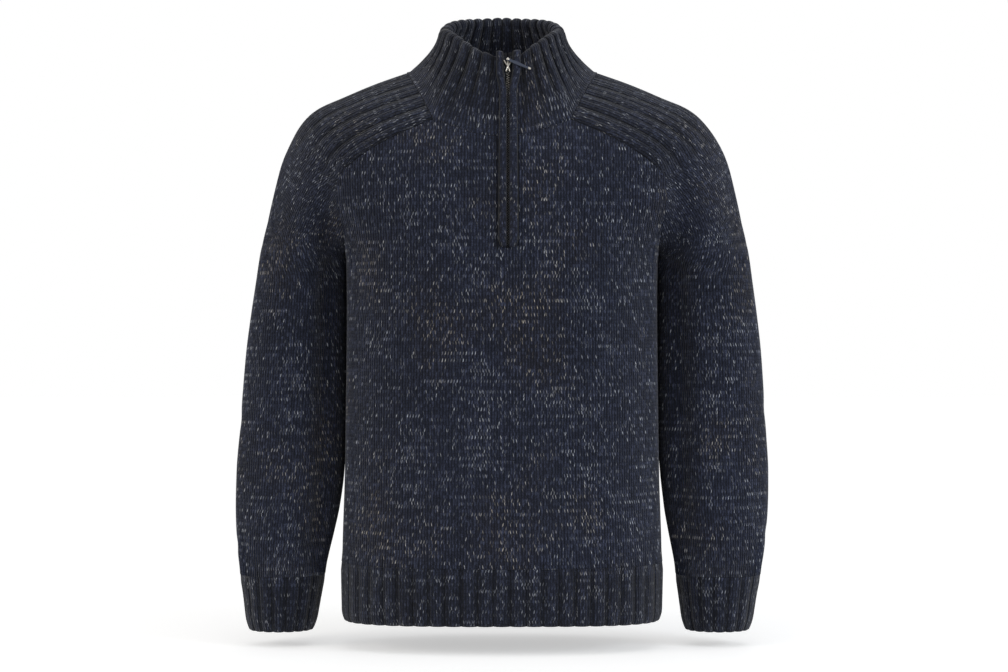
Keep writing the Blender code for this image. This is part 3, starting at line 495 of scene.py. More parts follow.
def top_edge(kind, shares):
    """Height at which each wale of a panel ends, on the neck seam or the saddle seam."""
    station = np.linspace(0, len(SADDLE) - 1, 260)
    seam_x, seam_z = (smooth_curve(np.arange(len(SADDLE)), SADDLE_TABLE[kind + end], station)
                      for end in ("_x", "_height"))
    neck_x = np.linspace(0, seam_x[0], 60)[:-1]
    neck_z = front_neck_height(neck_x) if kind == "front" else back_neck_height(neck_x)
    x = np.concatenate((neck_x, seam_x))
    z = np.concatenate((neck_z, seam_z))
    share = arc_to(kind, np.maximum(x, 1e-6), z)
    return np.interp(np.abs(shares), np.maximum.accumulate(share), z)


# ---------------------------------------------------------------- meshes of cloth

def new_mesh(name, verts, faces, uv, painted_shading, finish):
    """An object from points in millimetres, four-cornered faces, the stitch place of each point
    (its wale and course) and its painted shading: the share of the yarn's colour kept where shade
    is painted in, 1 where none is."""
    used, faces = np.unique(faces, return_inverse=True)
    faces = faces.reshape(-1, 4)
    mesh = bpy.data.meshes.new(name)
    mesh.vertices.add(len(used))
    mesh.vertices.foreach_set("co", (verts[used] * MM).astype(np.float32).ravel())
    mesh.loops.add(faces.size)
    mesh.loops.foreach_set("vertex_index", faces.astype(np.int32).ravel())
    mesh.polygons.add(len(faces))
    mesh.polygons.foreach_set("loop_start", np.arange(0, faces.size, 4, dtype=np.int32))
    mesh.update(calc_edges=True)
    stitches = mesh.uv_layers.new(name="stitches")
    stitches.data.foreach_set("uv", uv[used][faces].astype(np.float32).ravel())
    # Painted shade, as a share of the colour kept: low in furrows, grooves and beside the bindings.
    height = mesh.attributes.new("painted_shading", "FLOAT", "POINT")
    height.data.foreach_set("value", painted_shading[used].astype(np.float32))
    mesh.validate()
    mesh.shade_smooth()
    mesh.set_sharp_from_angle(angle=math.radians(60))
    piece = bpy.data.objects.new(name, mesh)
    bpy.context.scene.collection.objects.link(piece)
    mesh.materials.append(finish)
    return piece


def wall(name, outer, inner, uv, painted_shading, finish, kept=None):
    """A closed wall between two grids of points, rows by columns. A row and then the next
    turn anticlockwise as seen from outside; cells that are not kept leave a hole."""
    rows, columns = outer.shape[:2]
    index = np.arange(rows * columns).reshape(rows, columns)
    cells = np.stack((index[:-1, :-1], index[:-1, 1:], index[1:, 1:], index[1:, :-1]), axis=-1)
    cells = cells.reshape(-1, 4) if kept is None else cells[kept]
    back = rows * columns
    edges = np.concatenate([cells[:, [k, (k + 1) % 4]] for k in range(4)])
    key = edges.min(axis=1) * back + edges.max(axis=1)
    _, first, count = np.unique(key, return_index=True, return_counts=True)
    rim = edges[first[count == 1]]
    rim = np.stack((rim[:, 1], rim[:, 0], rim[:, 0] + back, rim[:, 1] + back), axis=-1)
    faces = np.concatenate((cells, cells[:, ::-1] + back, rim))
    verts = np.concatenate((outer.reshape(-1, 3), inner.reshape(-1, 3)))
    uv = np.tile(uv.reshape(-1, 2), (2, 1))
    painted_shading = np.broadcast_to(painted_shading, (rows, columns)).ravel()
    painted_shading = np.concatenate((painted_shading, painted_shading))
    return new_mesh(name, verts, faces, uv, painted_shading, finish)


def rolled(outer, inner, uv, painted_shading, steps=4):
    """The grids with their last row rolled over the free edge: a half circle whose
    diameter is the wall, in quarter circle steps on both faces."""
    ahead = unit(outer[-1] - outer[-2])
    middle = (outer[-1] + inner[-1]) / 2
    turn = np.linspace(0, math.pi / 2, steps + 1)[1:, None, None] * 0.97
    radius = np.linalg.norm(outer[-1] - inner[-1], axis=-1)[None, :, None] / 2
    reach = radius * np.sin(turn) * ahead
    outer_rows = middle + (outer[-1] - middle) * np.cos(turn) + reach
    inner_rows = middle + (inner[-1] - middle) * np.cos(turn) + reach
    step = uv[-1] - uv[-2]
    grow = uv[-1] + step * np.arange(1, steps + 1)[:, None, None] * 0.3
    painted_shading = np.concatenate((painted_shading, np.repeat(painted_shading[-1:], steps, axis=0)))
    return (np.concatenate((outer, outer_rows)), np.concatenate((inner, inner_rows)),
            np.concatenate((uv, grow)), painted_shading)


def grid_normals(points):
    """Directions square to a grid of points: across its rows and then down its columns."""
    across = np.gradient(points, axis=1)
    down = np.gradient(points, axis=0)
    return unit(np.cross(across, down))


def dress(piece, node):
    """Puts a piece in place of its CAD node."""
    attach(piece, "garment")
    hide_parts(node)


# ---------------------------------------------------------------- panels

def panel(kind, settings, finish):
    """Front or back: wales run up at even distances round the body until they meet a seam.
    Each wale is a low ridge, a cosine of its place, on the body form with its folds."""
    wale = settings.wale_width / MM
    course = settings.course_height / MM
    wales = round(float(quarter(kind, UNDERARM)) / wale)
    place = np.arange(-2 * wales, 2 * wales + 1) / 2
    shares = place / wales
    top = top_edge(kind, shares) - SEAM_GAP / 2
    share = np.linspace(0, 1, PANEL_ROWS)[:, None]
    heights = (1 - share) * (HEM_TOP + SEAM_GAP / 2) + share * top
    turn = turns_at(kind, shares, heights)
    if kind == "back":
        turn, heights, place, shares = turn[:, ::-1], heights[:, ::-1], place[::-1], shares[::-1]
    base = body_point(turn, heights)
    normals = body_normal(turn, heights)
    base[:, (0, -1), 1] += SEAM_GAP / 2 if kind == "back" else -SEAM_GAP / 2
    base = base - fold_depth(base, BODY_FOLDS)[..., None] * normals
    near_hem = np.clip((HEM_TOP + RIB_RUN_UP - heights) / RIB_RUN_UP, 0, 1) ** RUN_UP_FADE
    rib = rib_top((shares + 1) / 2 * HEM_RIBS)[None]
    rise = (settings.wale_relief / MM / 2 * np.cos(2 * math.pi * place)[None]
            + RUN_UP_RISE * HEM_RIB_RISE * near_hem * rib)
    outer = base + rise[..., None] * normals
    inner = base - WALL * normals
    uv = np.stack(np.broadcast_arrays(place + 0.5, heights / course), axis=-1)
    # Painted shade in the furrows where the hem's ribs run up.
    painted_shading = 1 - RUN_UP_SHADE * near_hem * (1 - rib)
    kept = None
    if kind == "front":
        x = base[..., 0]
        middle_x = (x[1:, 1:] + x[:-1, :-1]) / 2
        low_z = (heights[:-1, 1:] + heights[1:, :-1]) / 2
        kept = ~((middle_x > SLIT_LEFT) & (middle_x < SLIT_RIGHT) & (low_z > ZIP_BOTTOM))
        # Painted shadow: a dark line in the knit beside each binding.
        left_edge = ZIP_X - BINDING_WIDTHS["left"] - BESIDE_LEFT[0]
        right_edge = ZIP_X + BINDING_WIDTHS["right"] + BESIDE_RIGHT[0]
        beside = np.minimum(np.abs(x - left_edge) / BESIDE_LEFT[1],
                            np.abs(x - right_edge) / BESIDE_RIGHT[1])
        dark = BESIDE_SHADE * np.exp(-beside ** 2) * (heights > ZIP_BOTTOM - 4)
        painted_shading = painted_shading * (1 - dark)
    return wall(kind + "_panel", outer, inner, uv, painted_shading, finish, kept)


# ---------------------------------------------------------------- sleeves

def saddle_seam(kind):
    """Points of a saddle seam and directions off the body there (+X side)."""
    heights = SADDLE_TABLE[kind + "_height"]
    turns = body_turn(SADDLE_TABLE[kind + "_x"], heights)
    if kind == "back":
        turns = math.pi - turns
    points = body_point(turns, heights)
    off = unit(np.cross(body_normal(turns, heights), np.gradient(points, axis=0)))
    off *= np.sign(np.sum(off * (shoulder_line() - points), axis=-1, keepdims=True))
    return points, off


def shoulder_line():
    """The shoulder line, from the neck to the level of the underarm (+X side)."""
    return np.stack([SADDLE_TABLE["top_" + axis] for axis in ("x", "y", "height")], axis=-1)


def tucked(direction, tuck, fore_aft):
    """A direction off the body, turned level and fore (-1) or aft (+1) by its tuck."""
    azimuth = np.arctan2(direction[:, 1], direction[:, 0])
    azimuth = (1 - tuck) * azimuth + tuck * fore_aft * math.pi / 2
    climb = np.arcsin(np.clip(direction[:, 2], -1, 1)) * (1 - tuck)
    return np.stack((np.cos(climb) * np.cos(azimuth), np.cos(climb) * np.sin(azimuth),
                     np.sin(climb)), axis=-1)


def sleeve_controls():
    """Control points of each station's two cubic curves, front seam to top to back seam
    (+X side): stations by eight points by three."""
    table = SADDLE_TABLE
    tuck = table["tuck"]
    front, front_off = saddle_seam("front")
    back, back_off = saddle_seam("back")
    top = shoulder_line()
    half_gap = SEAM_GAP / 2
    front = front + half_gap * front_off
    back = back + half_gap * back_off
    under = np.array((body("half_width", UNDERARM) + SEAM_GAP, half_gap, UNDERARM))
    front[-1] = under * (1, -1, 1)
    back[-1] = under
    level = np.array((0.0, 1.0, 0.0))
    pull = {name: table[name][:, None] for name in SADDLE_COLUMNS if name.endswith("pull")}
    saddle = np.stack((
        front,
        front + pull["front_seam_pull"] * tucked(front_off, tuck, -1),
        top - pull["front_top_pull"] * level,
        top,
        top,
        top + pull["back_top_pull"] * level,
        back + pull["back_seam_pull"] * tucked(back_off, tuck, 1),
        back,
    ), axis=1)
    arm = ARM_TABLE
    inner = np.stack((arm["inner_x"], arm["middle_y"], arm["height"]), axis=-1)
    outer = np.stack((arm["outer_x"], arm["middle_y"], arm["height"]), axis=-1)
    handle = 4 / 3 * arm["half_depth"][:, None] * level
    lower = np.stack((inner - half_gap * level, inner - handle, outer - handle, outer,
                      outer, outer + handle, inner + handle, inner + half_gap * level), axis=1)
    return np.concatenate((saddle, lower))


WRIST = len(SADDLE) + [row[0] for row in ARM].index(CUFF_TOP)


def sections(down, controls, at):
    """Dense section curves down the sleeve, two cubics each, whose control points follow the
    stations' on monotone cubics."""
    columns = controls.reshape(len(controls), -1).T
    smooth = np.stack([smooth_curve(down, column, at) for column in columns], axis=-1)
    smooth = smooth.reshape(len(at), 8, 3)
    t = np.linspace(0, 1, SECTION_STEPS)[None]
    front, back = (bezier(*(smooth[:, first + k, None] for k in range(4)), t)
                   for first in (0, 4))
    return np.concatenate((front, back[:, 1:]), axis=1)


def sleeve_form(rows):
    """Section curves at evenly spaced rows down the sleeve to the wrist, with each point's
    length round from the front seam, the rows' distance down and their station (+X side)."""
    controls = sleeve_controls()
    down = lengths((controls[:, 3] + (controls[:, 1] + controls[:, 6]) / 2) / 2, 0)
    at = np.linspace(0, down[WRIST], rows)
    curve = sections(down, controls, at)
    return curve, lengths(curve, 1), at, np.interp(at, down, np.arange(len(down)))


def side_grid(points, side):
    """A grid of the +X side put on one side, wound so that it faces outwards."""
    placed = points.copy()
    if side > 0:
        shift = smooth_curve(LEAN_TABLE["height"], LEAN_TABLE["shift"], placed[..., 2])
        lean = np.clip((placed[..., 0] - LEAN_START_X) / LEAN_WIDTH, 0, 1)
        clear = np.clip((CLEAR_OF_BODY - placed[..., 2]) / LEAN_WIDTH, 0, 1)
        placed[..., 0] += shift * np.where(placed[..., 2] < UNDERARM, np.maximum(lean, clear), lean)
        return placed[:, ::-1]
    placed[..., 0] *= -1
    return placed


def resampled(curve, round_it, shares):
    """Points of each row's curve at the same shares of its length."""
    return np.stack([between(shares * run[-1], run, line)
                     for line, run in zip(curve, round_it)])


def sleeve(side, settings, finish):
    """Sleeve with its saddle. Ridges run over the shoulder as rounded sine ribs that fade
    down the arm, where each wale is a low cosine ridge at an even share of the tube."""
    wale = settings.wale_width / MM
    curve, round_it, down, station = sleeve_form(SLEEVE_ROWS)
    widest = round_it[:, -1].max()
    wales = 2 * round(widest / wale / 2)
    shares = np.linspace(0, 1, 2 * wales + 1)
    points = resampled(curve, round_it, shares)
    normals = -grid_normals(points)
    seam = unit(normals[:, 0] + normals[:, -1])
    closed = station >= len(SADDLE) - 1
    normals[closed, 0] = seam[closed]
    normals[closed, -1] = seam[closed]
    normals[-1] = unit(normals[-1] * (1, 1, 0))
    points[0] += SEAM_GAP / 2 * unit(points[1] - points[0])
    points[-1, :, 2] += SEAM_GAP / 2
    folds = np.array(SLEEVE_FOLDS, dtype=float)
    if side > 0:
        folds[:, (2, 5)] += RIGHT_FOLD_SHIFT
        folds[:, 7] *= RIGHT_FOLD_DEPTH
    depth = fold_depth(points, folds) * np.clip((down[-1] - down) / FOLDS_FADE, 0, 1)[:, None]
    points = points - depth[..., None] * normals
    arm = np.clip((station - ARM_WALES_START) / ARM_WALES_GROW, 0, 1)[:, None]
    ridge = rib_top(shares * RIDGES, RIDGE_FULLNESS)
    off_crown = (shares * RIDGES % 1 - 0.5) / RIDGE_GROOVE_WIDTH
    ridge = (ridge - RIDGE_GROOVE * np.exp(-off_crown ** 2))[None]
    ridged = np.clip((RIDGES_GONE - station) / RIDGES_FADE, 0, 1)[:, None]
    top = round_it[:, SECTION_STEPS - 1, None]
    from_top = (shares[None] * round_it[:, -1:] - top) / wale
    even = (shares[None] - 0.5) * wales
    index = (1 - arm) * from_top + arm * even
    relief = settings.wale_relief / MM / 2 * arm * np.cos(2 * math.pi * index)
    near_cuff = np.clip((down - down[-1] + RIB_RUN_UP) / RIB_RUN_UP, 0, 1)[:, None]
    near_cuff = near_cuff ** RUN_UP_FADE
    rib = rib_top(shares * CUFF_RIBS)[None]
    relief = relief + RUN_UP_RISE * CUFF_RIB_RISE * near_cuff * rib
    outer = points + (RIDGE_RISE * ridged * ridge + relief)[..., None] * normals
    inner = points - WALL * normals
    courses = -down[:, None] * MM / settings.course_height
    uv = np.stack(np.broadcast_arrays(index + 0.5, courses), axis=-1)
    # Painted shade in the grooves between the saddle's ridges and in the furrows where the cuff's
    # ribs run up.
    painted_shading = 1 - (1 - ridge) * ridged - RUN_UP_SHADE * near_cuff * (1 - rib)
    grids = [side_grid(grid, side) for grid in (outer, inner)]
    if side > 0:
        uv, painted_shading = uv[:, ::-1] * (-1, 1), painted_shading[:, ::-1]
    name = "sleeve_left" if side < 0 else "sleeve_right"
    return wall(name + "_knit", *grids, uv, painted_shading, finish)


# ---------------------------------------------------------------- hem and cuffs

def rib_stitches(points, settings):
    """Stitch places on a ribbed piece: wales by the mean length round, courses by the
    length down."""
    across = lengths(points, 1).mean(axis=0) * MM / settings.wale_width
    down = lengths(points, 0).mean(axis=1) * MM / settings.course_height
    return np.stack(np.broadcast_arrays(across[None], -down[:, None]), axis=-1)


def rib_band(name, base, normals, ribs, rise, taper, settings, finish):
    """A ribbed band: sine ribs that rise from the plain edge above and taper a little on the way
    down to a rolled edge. Shade is painted into the yarn: darkest in the furrows, and darker past
    the first courses."""
    down = np.linspace(0, 1, len(base))[:, None]
    grow = np.clip(0.5 + down / RIB_GROWTH, 0, 1) * (1 - taper * down)
    rib = rib_top(ribs)[None]
    outer = base + (rise * grow * rib)[..., None] * normals
    inner = base - (WALL - RIB_BACK * rib * grow)[..., None] * normals
    deep_rib_shade = 1 - (1 - RIB_SHADE_TONE) * np.clip(down / RIB_GROWTH, 0, 1)
    painted_shading = (0.2 + 0.8 * rib ** 1.8) * deep_rib_shade
    return wall(name, *rolled(outer, inner, rib_stitches(base, settings), painted_shading), finish)


def cuff(side, settings, finish):
    """Ribbed cuff on the sleeve's own sections, drawn in and bowed down at the hand."""
    controls = sleeve_controls()[WRIST:]
    heights = controls[:, 0, 2]
    at = np.linspace(heights[0], heights[-1], CUFF_ROWS)
    curve = side_grid(sections(heights, controls, at), side)
    shares = np.linspace(0, 1, CUFF_RIBS * RIB_STEPS + 1)
    points = resampled(curve, lengths(curve, 1), shares)
    normals = grid_normals(points)
    normals[:, 0] = normals[:, -1] = unit(normals[:, 0] + normals[:, -1])
    normals[0] = unit(normals[0] * (1, 1, 0))
    points[0, :, 2] -= SEAM_GAP / 2
    down = np.linspace(0, 1, len(points))[:, None]
    pulled_in = np.clip((down - CUFF_PULL_START) / CUFF_PULL_GROW, 0, 1)[..., None] ** 2
    points = points - EDGE_PULL * pulled_in * normals
    points[..., 2] -= CUFF_DROP * down ** 2
    name = "cuff_left_rib" if side < 0 else "cuff_right_rib"
    return rib_band(name, points, normals, shares * CUFF_RIBS, CUFF_RIB_RISE, CUFF_TAPER,
                    settings, finish)


def hem(kind, settings, finish):
    """Half of the ribbed hem at even distances round the body form. Its lower edge sways
    in and out as a sine, is drawn in, and bows down towards the sides."""
    shares = np.linspace(-1, 1, HEM_RIBS * RIB_STEPS + 1)
    down = np.linspace(0, 1, HEM_ROWS)[:, None]
    heights = HEM_TOP - SEAM_GAP / 2 + down * (HEM_BOTTOM - HEM_TOP
                                                 - HEM_DROP * np.abs(shares) ** 1.5)
    turn = turns_at(kind, shares, heights)
    if kind == "front":
        turn = turn[:, ::-1]
    base = body_point(turn, heights)
    normals = unit(body_normal(turn, heights) * (1, 1, 0))
    base[:, (0, -1), 1] += SEAM_GAP / 2 if kind == "back" else -SEAM_GAP / 2
    sway = HEM_SWAY * np.sin(shares * HEM_SWAY_TURN + HEM_SWAY_START[kind]) * down ** 2
    pulled_in = EDGE_PULL * np.clip((down - HEM_PULL_START) / HEM_PULL_GROW, 0, 1) ** 2
    base = base + (sway - pulled_in)[..., None] * normals
    return rib_band("hem_" + kind + "_rib", base, normals, (shares + 1) / 2 * HEM_RIBS,
                    HEM_RIB_RISE, HEM_TAPER, settings, finish)


# ---------------------------------------------------------------- collar

RIM_START = -math.asin(SLIT_LEFT / RIM_HALF_WIDTH)
RIM_END = 2 * math.pi - math.asin(SLIT_RIGHT / RIM_HALF_WIDTH)


def neck_line():
    """The neck seam from the zip round the back to the zip again, as seen from above."""
    corner = SADDLE_TABLE["front_x"][0]
    left_x = np.linspace(SLIT_LEFT, -corner, 40)
    right_x = np.linspace(corner, SLIT_RIGHT, 40)
    front = [body_point(body_turn(x, front_neck_height(x)), front_neck_height(x))
             for x in (left_x, right_x)]
    back_x = np.linspace(-1, 1, 60) * SADDLE_TABLE["back_x"][0]
    heights = back_neck_height(back_x)
    back = body_point(math.pi - body_turn(back_x, heights), heights)
    curve, round_it, _, _ = sleeve_form(4)
    shoulder = resampled(curve[:1], round_it[:1], np.linspace(0, 1, 40))
    left = side_grid(shoulder, -1)[0]
    right = side_grid(shoulder, 1)[0]
    return np.concatenate((front[0], left[1:-1], back, right[1:-1], front[1]))


NECK_LINE = neck_line()


def collar_knots():
    """Shares of the way round for the points of the neck seam: a quarter at the left
    shoulder point, a half behind."""
    length = lengths(NECK_LINE, 0)
    left = np.argmin(NECK_LINE[:, 0])
    right = np.argmax(NECK_LINE[:, 0])
    behind = np.argmax(np.where(np.abs(NECK_LINE[:, 0]) < 3, NECK_LINE[:, 1], -1e9))
    return np.interp(length, length[[0, left, behind, right, -1]], (0, 0.25, 0.5, 0.75, 1))


COLLAR_SHARES = collar_knots()


def collar_point(share, climb):
    """Point of the collar's wall: a cubic from the neck seam to the rim, whose handles
    lean in and up from the seam and out and down from the rim."""
    share, climb = np.broadcast_arrays(share, climb)
    turn = np.interp(share, (0, 0.25, 0.5, 0.75, 1),
                     (RIM_START, math.pi / 2, math.pi, 1.5 * math.pi, RIM_END))
    angle = np.degrees(np.abs((turn + math.pi) % (2 * math.pi) - math.pi))
    shape = {name: smooth_curve(COLLAR_TABLE["angle"], COLLAR_TABLE[name], angle)[..., None]
             for name in COLLAR_COLUMNS[1:]}
    out = np.stack((-np.sin(turn), -np.cos(turn), np.zeros_like(turn)), axis=-1)
    up = np.array((0.0, 0.0, 1.0))
    size = np.array((RIM_HALF_WIDTH, RIM_HALF_DEPTH, 0))
    rim = out * size + np.array((0, RIM_MIDDLE_Y, 0)) + shape["rim"] * up
    base = between(share, COLLAR_SHARES, NECK_LINE)
    low = base - shape["low_in"] * out + shape["low_up"] * up
    high = rim + shape["high_out"] * out - shape["high_down"] * up
    return bezier(base, low, high, rim, climb)


def collar_normal(share, climb):
    """Direction out of the collar's wall."""
    small = 0.004
    round_it = (collar_point(share + small, climb) - collar_point(share - small, climb))
    up_it = (collar_point(share, np.minimum(climb + small, 1))
             - collar_point(share, np.maximum(climb - small, 0)))
    return unit(np.cross(up_it, round_it))


def collar(settings, finish):
    """Ribbed stand collar: rounded ribs that rise out of a plain foot and stand as scallops
    over a thick rolled rim. The wall thickens with the power 1.5 of its climb, the same
    ribs are sunk into its inside, and a bead runs round the foot over the neck seam."""
    shares = np.linspace(0, 1, COLLAR_RIBS * RIB_STEPS + 1)
    climbs = np.linspace(0, 1, COLLAR_ROWS)[:, None] ** 0.9
    rise = climbs * COLLAR_ROLL_START
    base = collar_point(shares[None], rise)
    normals = collar_normal(np.clip(shares, 0.004, 0.996)[None], rise)
    base[0] += SEAM_GAP / 2 * unit(base[1] - base[0])
    grow = smooth_curve(COLLAR_RISE_TABLE["climb"], COLLAR_RISE_TABLE["rise"], climbs)
    from_binding = np.minimum(shares, 1 - shares) * COLLAR_RIBS
    beside_binding = np.clip(from_binding - COLLAR_SMOOTH_RIBS, 0, 1)[None]
    rib = rib_top(shares * COLLAR_RIBS)[None]
    bead = COLLAR_FOOT_BEAD * np.exp(-((climbs - FOOT_BEAD_MIDDLE) / FOOT_BEAD_WIDTH) ** 2)
    lift = COLLAR_RIB_RISE * COLLAR_FULLER * grow * rib * beside_binding + bead
    thick = WALL + COLLAR_RIM_EXTRA * climbs ** 1.5 * (0.25 + 0.75 * beside_binding)
    outer = base + lift[..., None] * normals
    inner = base - (thick + COLLAR_BACK_FURROW * grow * (rib - 1))[..., None] * normals
    uv = rib_stitches(base[::-1], settings)[::-1]
    # Painted shade in the furrows of the ribs, darker above the foot.
    painted_shading = np.broadcast_to(1 - grow * (1 - rib ** 1.8), base.shape[:2])
    painted_shading = painted_shading * (1 - (1 - COLLAR_SHADE_TONE) * np.clip(climbs / 0.2, 0, 1))
    outer, inner, uv, painted_shading = rolled(outer, inner, uv, painted_shading, 6)
    return wall("collar_rib", outer[::-1], inner[::-1], uv[::-1], painted_shading[::-1], finish)


# ---------------------------------------------------------------- zip

def zip_line(x_offset, side, rows):
    """Points and normals up the front beside the zip, from the slit's end to the rim, at a
    distance from the zip's middle for each row."""
    body_run = front_neck_height(np.array(0.0)) - ZIP_BOTTOM
    rim = np.array((0.0, 1.0))
    seam_and_rim = collar_point(np.zeros(2), rim)
    stand_run = np.linalg.norm(seam_and_rim[1] - seam_and_rim[0])
    place = np.linspace(0, body_run + stand_run, rows)
    x = ZIP_X + x_offset(place / place[-1])
    on_body = place < body_run
    height = np.minimum(ZIP_BOTTOM + place, ZIP_BOTTOM + body_run)
    turn = body_turn(x, height)
    body_points = body_point(turn, height)
    body_out = body_normal(turn, height)
    climb = np.clip((place - body_run) / stand_run, 0, 1)
    near = np.linspace(0, 0.08, 60)
    shares = near if side < 0 else 1 - near
    run = collar_point(shares[None], climb[:, None])[..., 0]
    order = np.argsort(run[-1])
    share = np.array([np.interp(want, row[order], shares[order]) for want, row in zip(x, run)])
    stand_points = collar_point(share, climb)
    stand_points[:, 0] = x
    stand_out = collar_normal(np.clip(share, 0.004, 0.996), climb)
    points = np.where(on_body[:, None], body_points, stand_points)
    blend = np.clip((place - body_run) / 14 + 0.5, 0, 1)[:, None]
    out = unit((1 - blend) * body_out + blend * stand_out)
    return points, out, place


def facing_out(side, *grids):
    """The grids, turned round on the left side so that they face outwards."""
    return [grid[:, ::-1] if side < 0 else grid for grid in grids]


def binding(name, finish):
    """Knitted tube over one edge of the zip: a half round section from edge to edge, parted
    round the slider and tapered to a point below, with a bead for each course."""
    side = -1 if name == "left" else 1

    def near_edge(share):
        return side * (BINDING_MEETS + (BINDING_PARTED - BINDING_MEETS)
                       * smooth_curve((0, 0.78, 0.89, 1), (0, 0, 0.9, 1), share))

    def width(share):
        full = smooth_curve((0, 0.04, 0.86, 1), (0.75, 1, 0.86, 0.8), share)
        return BINDING_WIDTHS[name] * full

    near, near_out, place = zip_line(near_edge, side, BINDING_ROWS)
    far, far_out, _ = zip_line(lambda share: near_edge(share) + side * width(share), side,
                               BINDING_ROWS)
    bead = BINDING_BEAD * np.abs(np.sin(math.pi * place / BINDING_COURSE)) - 0.5
    end = np.clip(place / 4, 0.3, 1) * np.clip((place[-1] + 3 - place) / 6, 0.3, 1) ** 0.5
    rise = (BINDING_RISE * end + bead)[:, None, None]
    turn = np.linspace(0, math.pi, BINDING_STEPS)
    across = (0.5 - 0.5 * np.cos(turn))[None, :, None]
    lift = (np.sin(turn) ** 0.85)[None, :, None]
    out = unit((1 - across) * near_out[:, None] + across * far_out[:, None])
    under = (1 - across) * near[:, None] + across * far[:, None] + SEAM_GAP * out
    outer = under + rise * lift * out
    inner = under + 0.15 * lift * out
    across = across[..., 0]
    courses = (place / BINDING_COURSE)[:, None]
    uv = np.stack(np.broadcast_arrays(across * BINDING_WALES, courses), axis=-1)
    # Painted shade along both edges of each binding's roll.
    full = width(place / place[-1])[:, None]
    painted_shading = (np.clip(across * full / NEAR_SHADE, 0, 1)
              * np.clip((1 - across) * full / FAR_SHADE[name], 0, 1))
    return wall("binding_" + name + "_knit", *facing_out(side, outer, inner, uv, painted_shading), finish)


def tape(name, finish):
    """Woven strip behind the opening, between two distances from the zip's middle."""
    side = -1 if name == "left" else 1
    across = np.linspace(TAPE_INNER, TAPE_OUTER, 9)
    strips = [zip_line(lambda share, at=at: side * at + 0 * share, side, TAPE_ROWS)
              for at in across]
    points = np.stack([strip[0] for strip in strips], axis=1)
    out = np.stack([strip[1] for strip in strips], axis=1)
    depth = WALL + SEAM_GAP
    outer = points - depth * out
    inner = points - (depth + 1.0) * out
    outer[0, :, 2] += 1.5
    inner[0, :, 2] += 1.5
    place = strips[0][2]
    uv = np.stack(np.broadcast_arrays(across[None], place[:, None]), axis=-1)
    painted_shading = np.ones(points.shape[:2])
    return wall("tape_" + name + "_woven", *facing_out(side, outer, inner, uv, painted_shading), finish)


def zip_teeth(finish):
    """The closed chain: small rounded blocks in two columns, each half a pitch off the
    other, that follow the line of the zip."""
    points, out, place = zip_line(lambda share: 0 * share, -1, 400)
    count = int((place[-1] - TEETH_BELOW_RIM - TEETH_START) / TOOTH_PITCH * 2)
    at = TEETH_START + np.arange(count) * TOOTH_PITCH / 2
    centre = between(at, place, points)
    face = unit(between(at, place, out))
    up = unit(np.cross(face, np.array((-1.0, 0, 0))))
    up *= np.sign(up[:, 2:3])
    right = np.cross(up, face)
    side = np.where(np.arange(count) % 2 == 0, -1.0, 1.0)[:, None]
    ring = np.array([(-1, -1), (1, -1), (1, 1), (-1, 1)], dtype=float)
    verts = []
    for depth, scale in TOOTH_RINGS:
        corner = ring * np.array(TOOTH_HALF) * scale
        sideways = corner[None, :, :1] + side[:, None] * TOOTH_OFFSET
        verts.append(centre[:, None] + sideways * right[:, None]
                     + corner[None, :, 1:] * up[:, None] + (depth - TEETH_SUNK) * face[:, None])
    verts = np.concatenate(verts, axis=1)
    quads = [(3, 2, 1, 0), (8, 9, 10, 11)]
    for level in (0, 4):
        quads += [(level + k, level + (k + 1) % 4, level + 4 + (k + 1) % 4, level + 4 + k)
                  for k in range(4)]
    faces = np.array(quads)[None] + 12 * np.arange(count)[:, None, None]
    flat = verts.reshape(-1, 3)
    return new_mesh("chain_teeth", flat, faces.reshape(-1, 4), np.zeros((len(flat), 2)),
                    np.ones(len(flat)), finish)


def slider_axes():
    """The stud's foot on the collar in millimetres, and the slider's right, up and out."""
    climbs = np.linspace(0.5, 1, 60)
    middle = (collar_point(np.zeros(60), climbs) + collar_point(np.ones(60), climbs)) / 2
    foot = between(SLIDER_HEIGHT, middle[:, 2], middle)
    foot[0] = ZIP_X
    up = unit(np.array((0, *(middle[-1] - middle[0])[1:])))
    right = np.array((1.0, 0.0, 0.0))
    return foot, right, up, np.cross(right, up)


def cast_limb(start, end, start_half, end_half, level, height):
    """Grid of a domed bar in the slider's own axes: half ellipses across, whose size falls
    to nothing at both ends as a superellipse of the place along it."""
    along = np.linspace(0, math.pi, 13)[:, None]
    place = (0.5 - 0.5 * np.cos(along))
    around = np.linspace(0, 2 * math.pi, 17)[None]
    swell = np.abs(np.sin(along)) ** 0.35
    half = (start_half + (end_half - start_half) * place) * swell
    start, end = np.array(start, float), np.array(end, float)
    ahead = unit(end - start)
    across = np.array((-ahead[1], ahead[0]))
    middle = start + place * (end - start)
    side = half * np.cos(around)
    rise = level + height * swell * np.sin(around) * np.where(np.sin(around) > 0, 1, 0.6)
    return np.stack((middle[:, :1] + side * across[0], middle[:, 1:] + side * across[1], rise),
                    axis=-1)


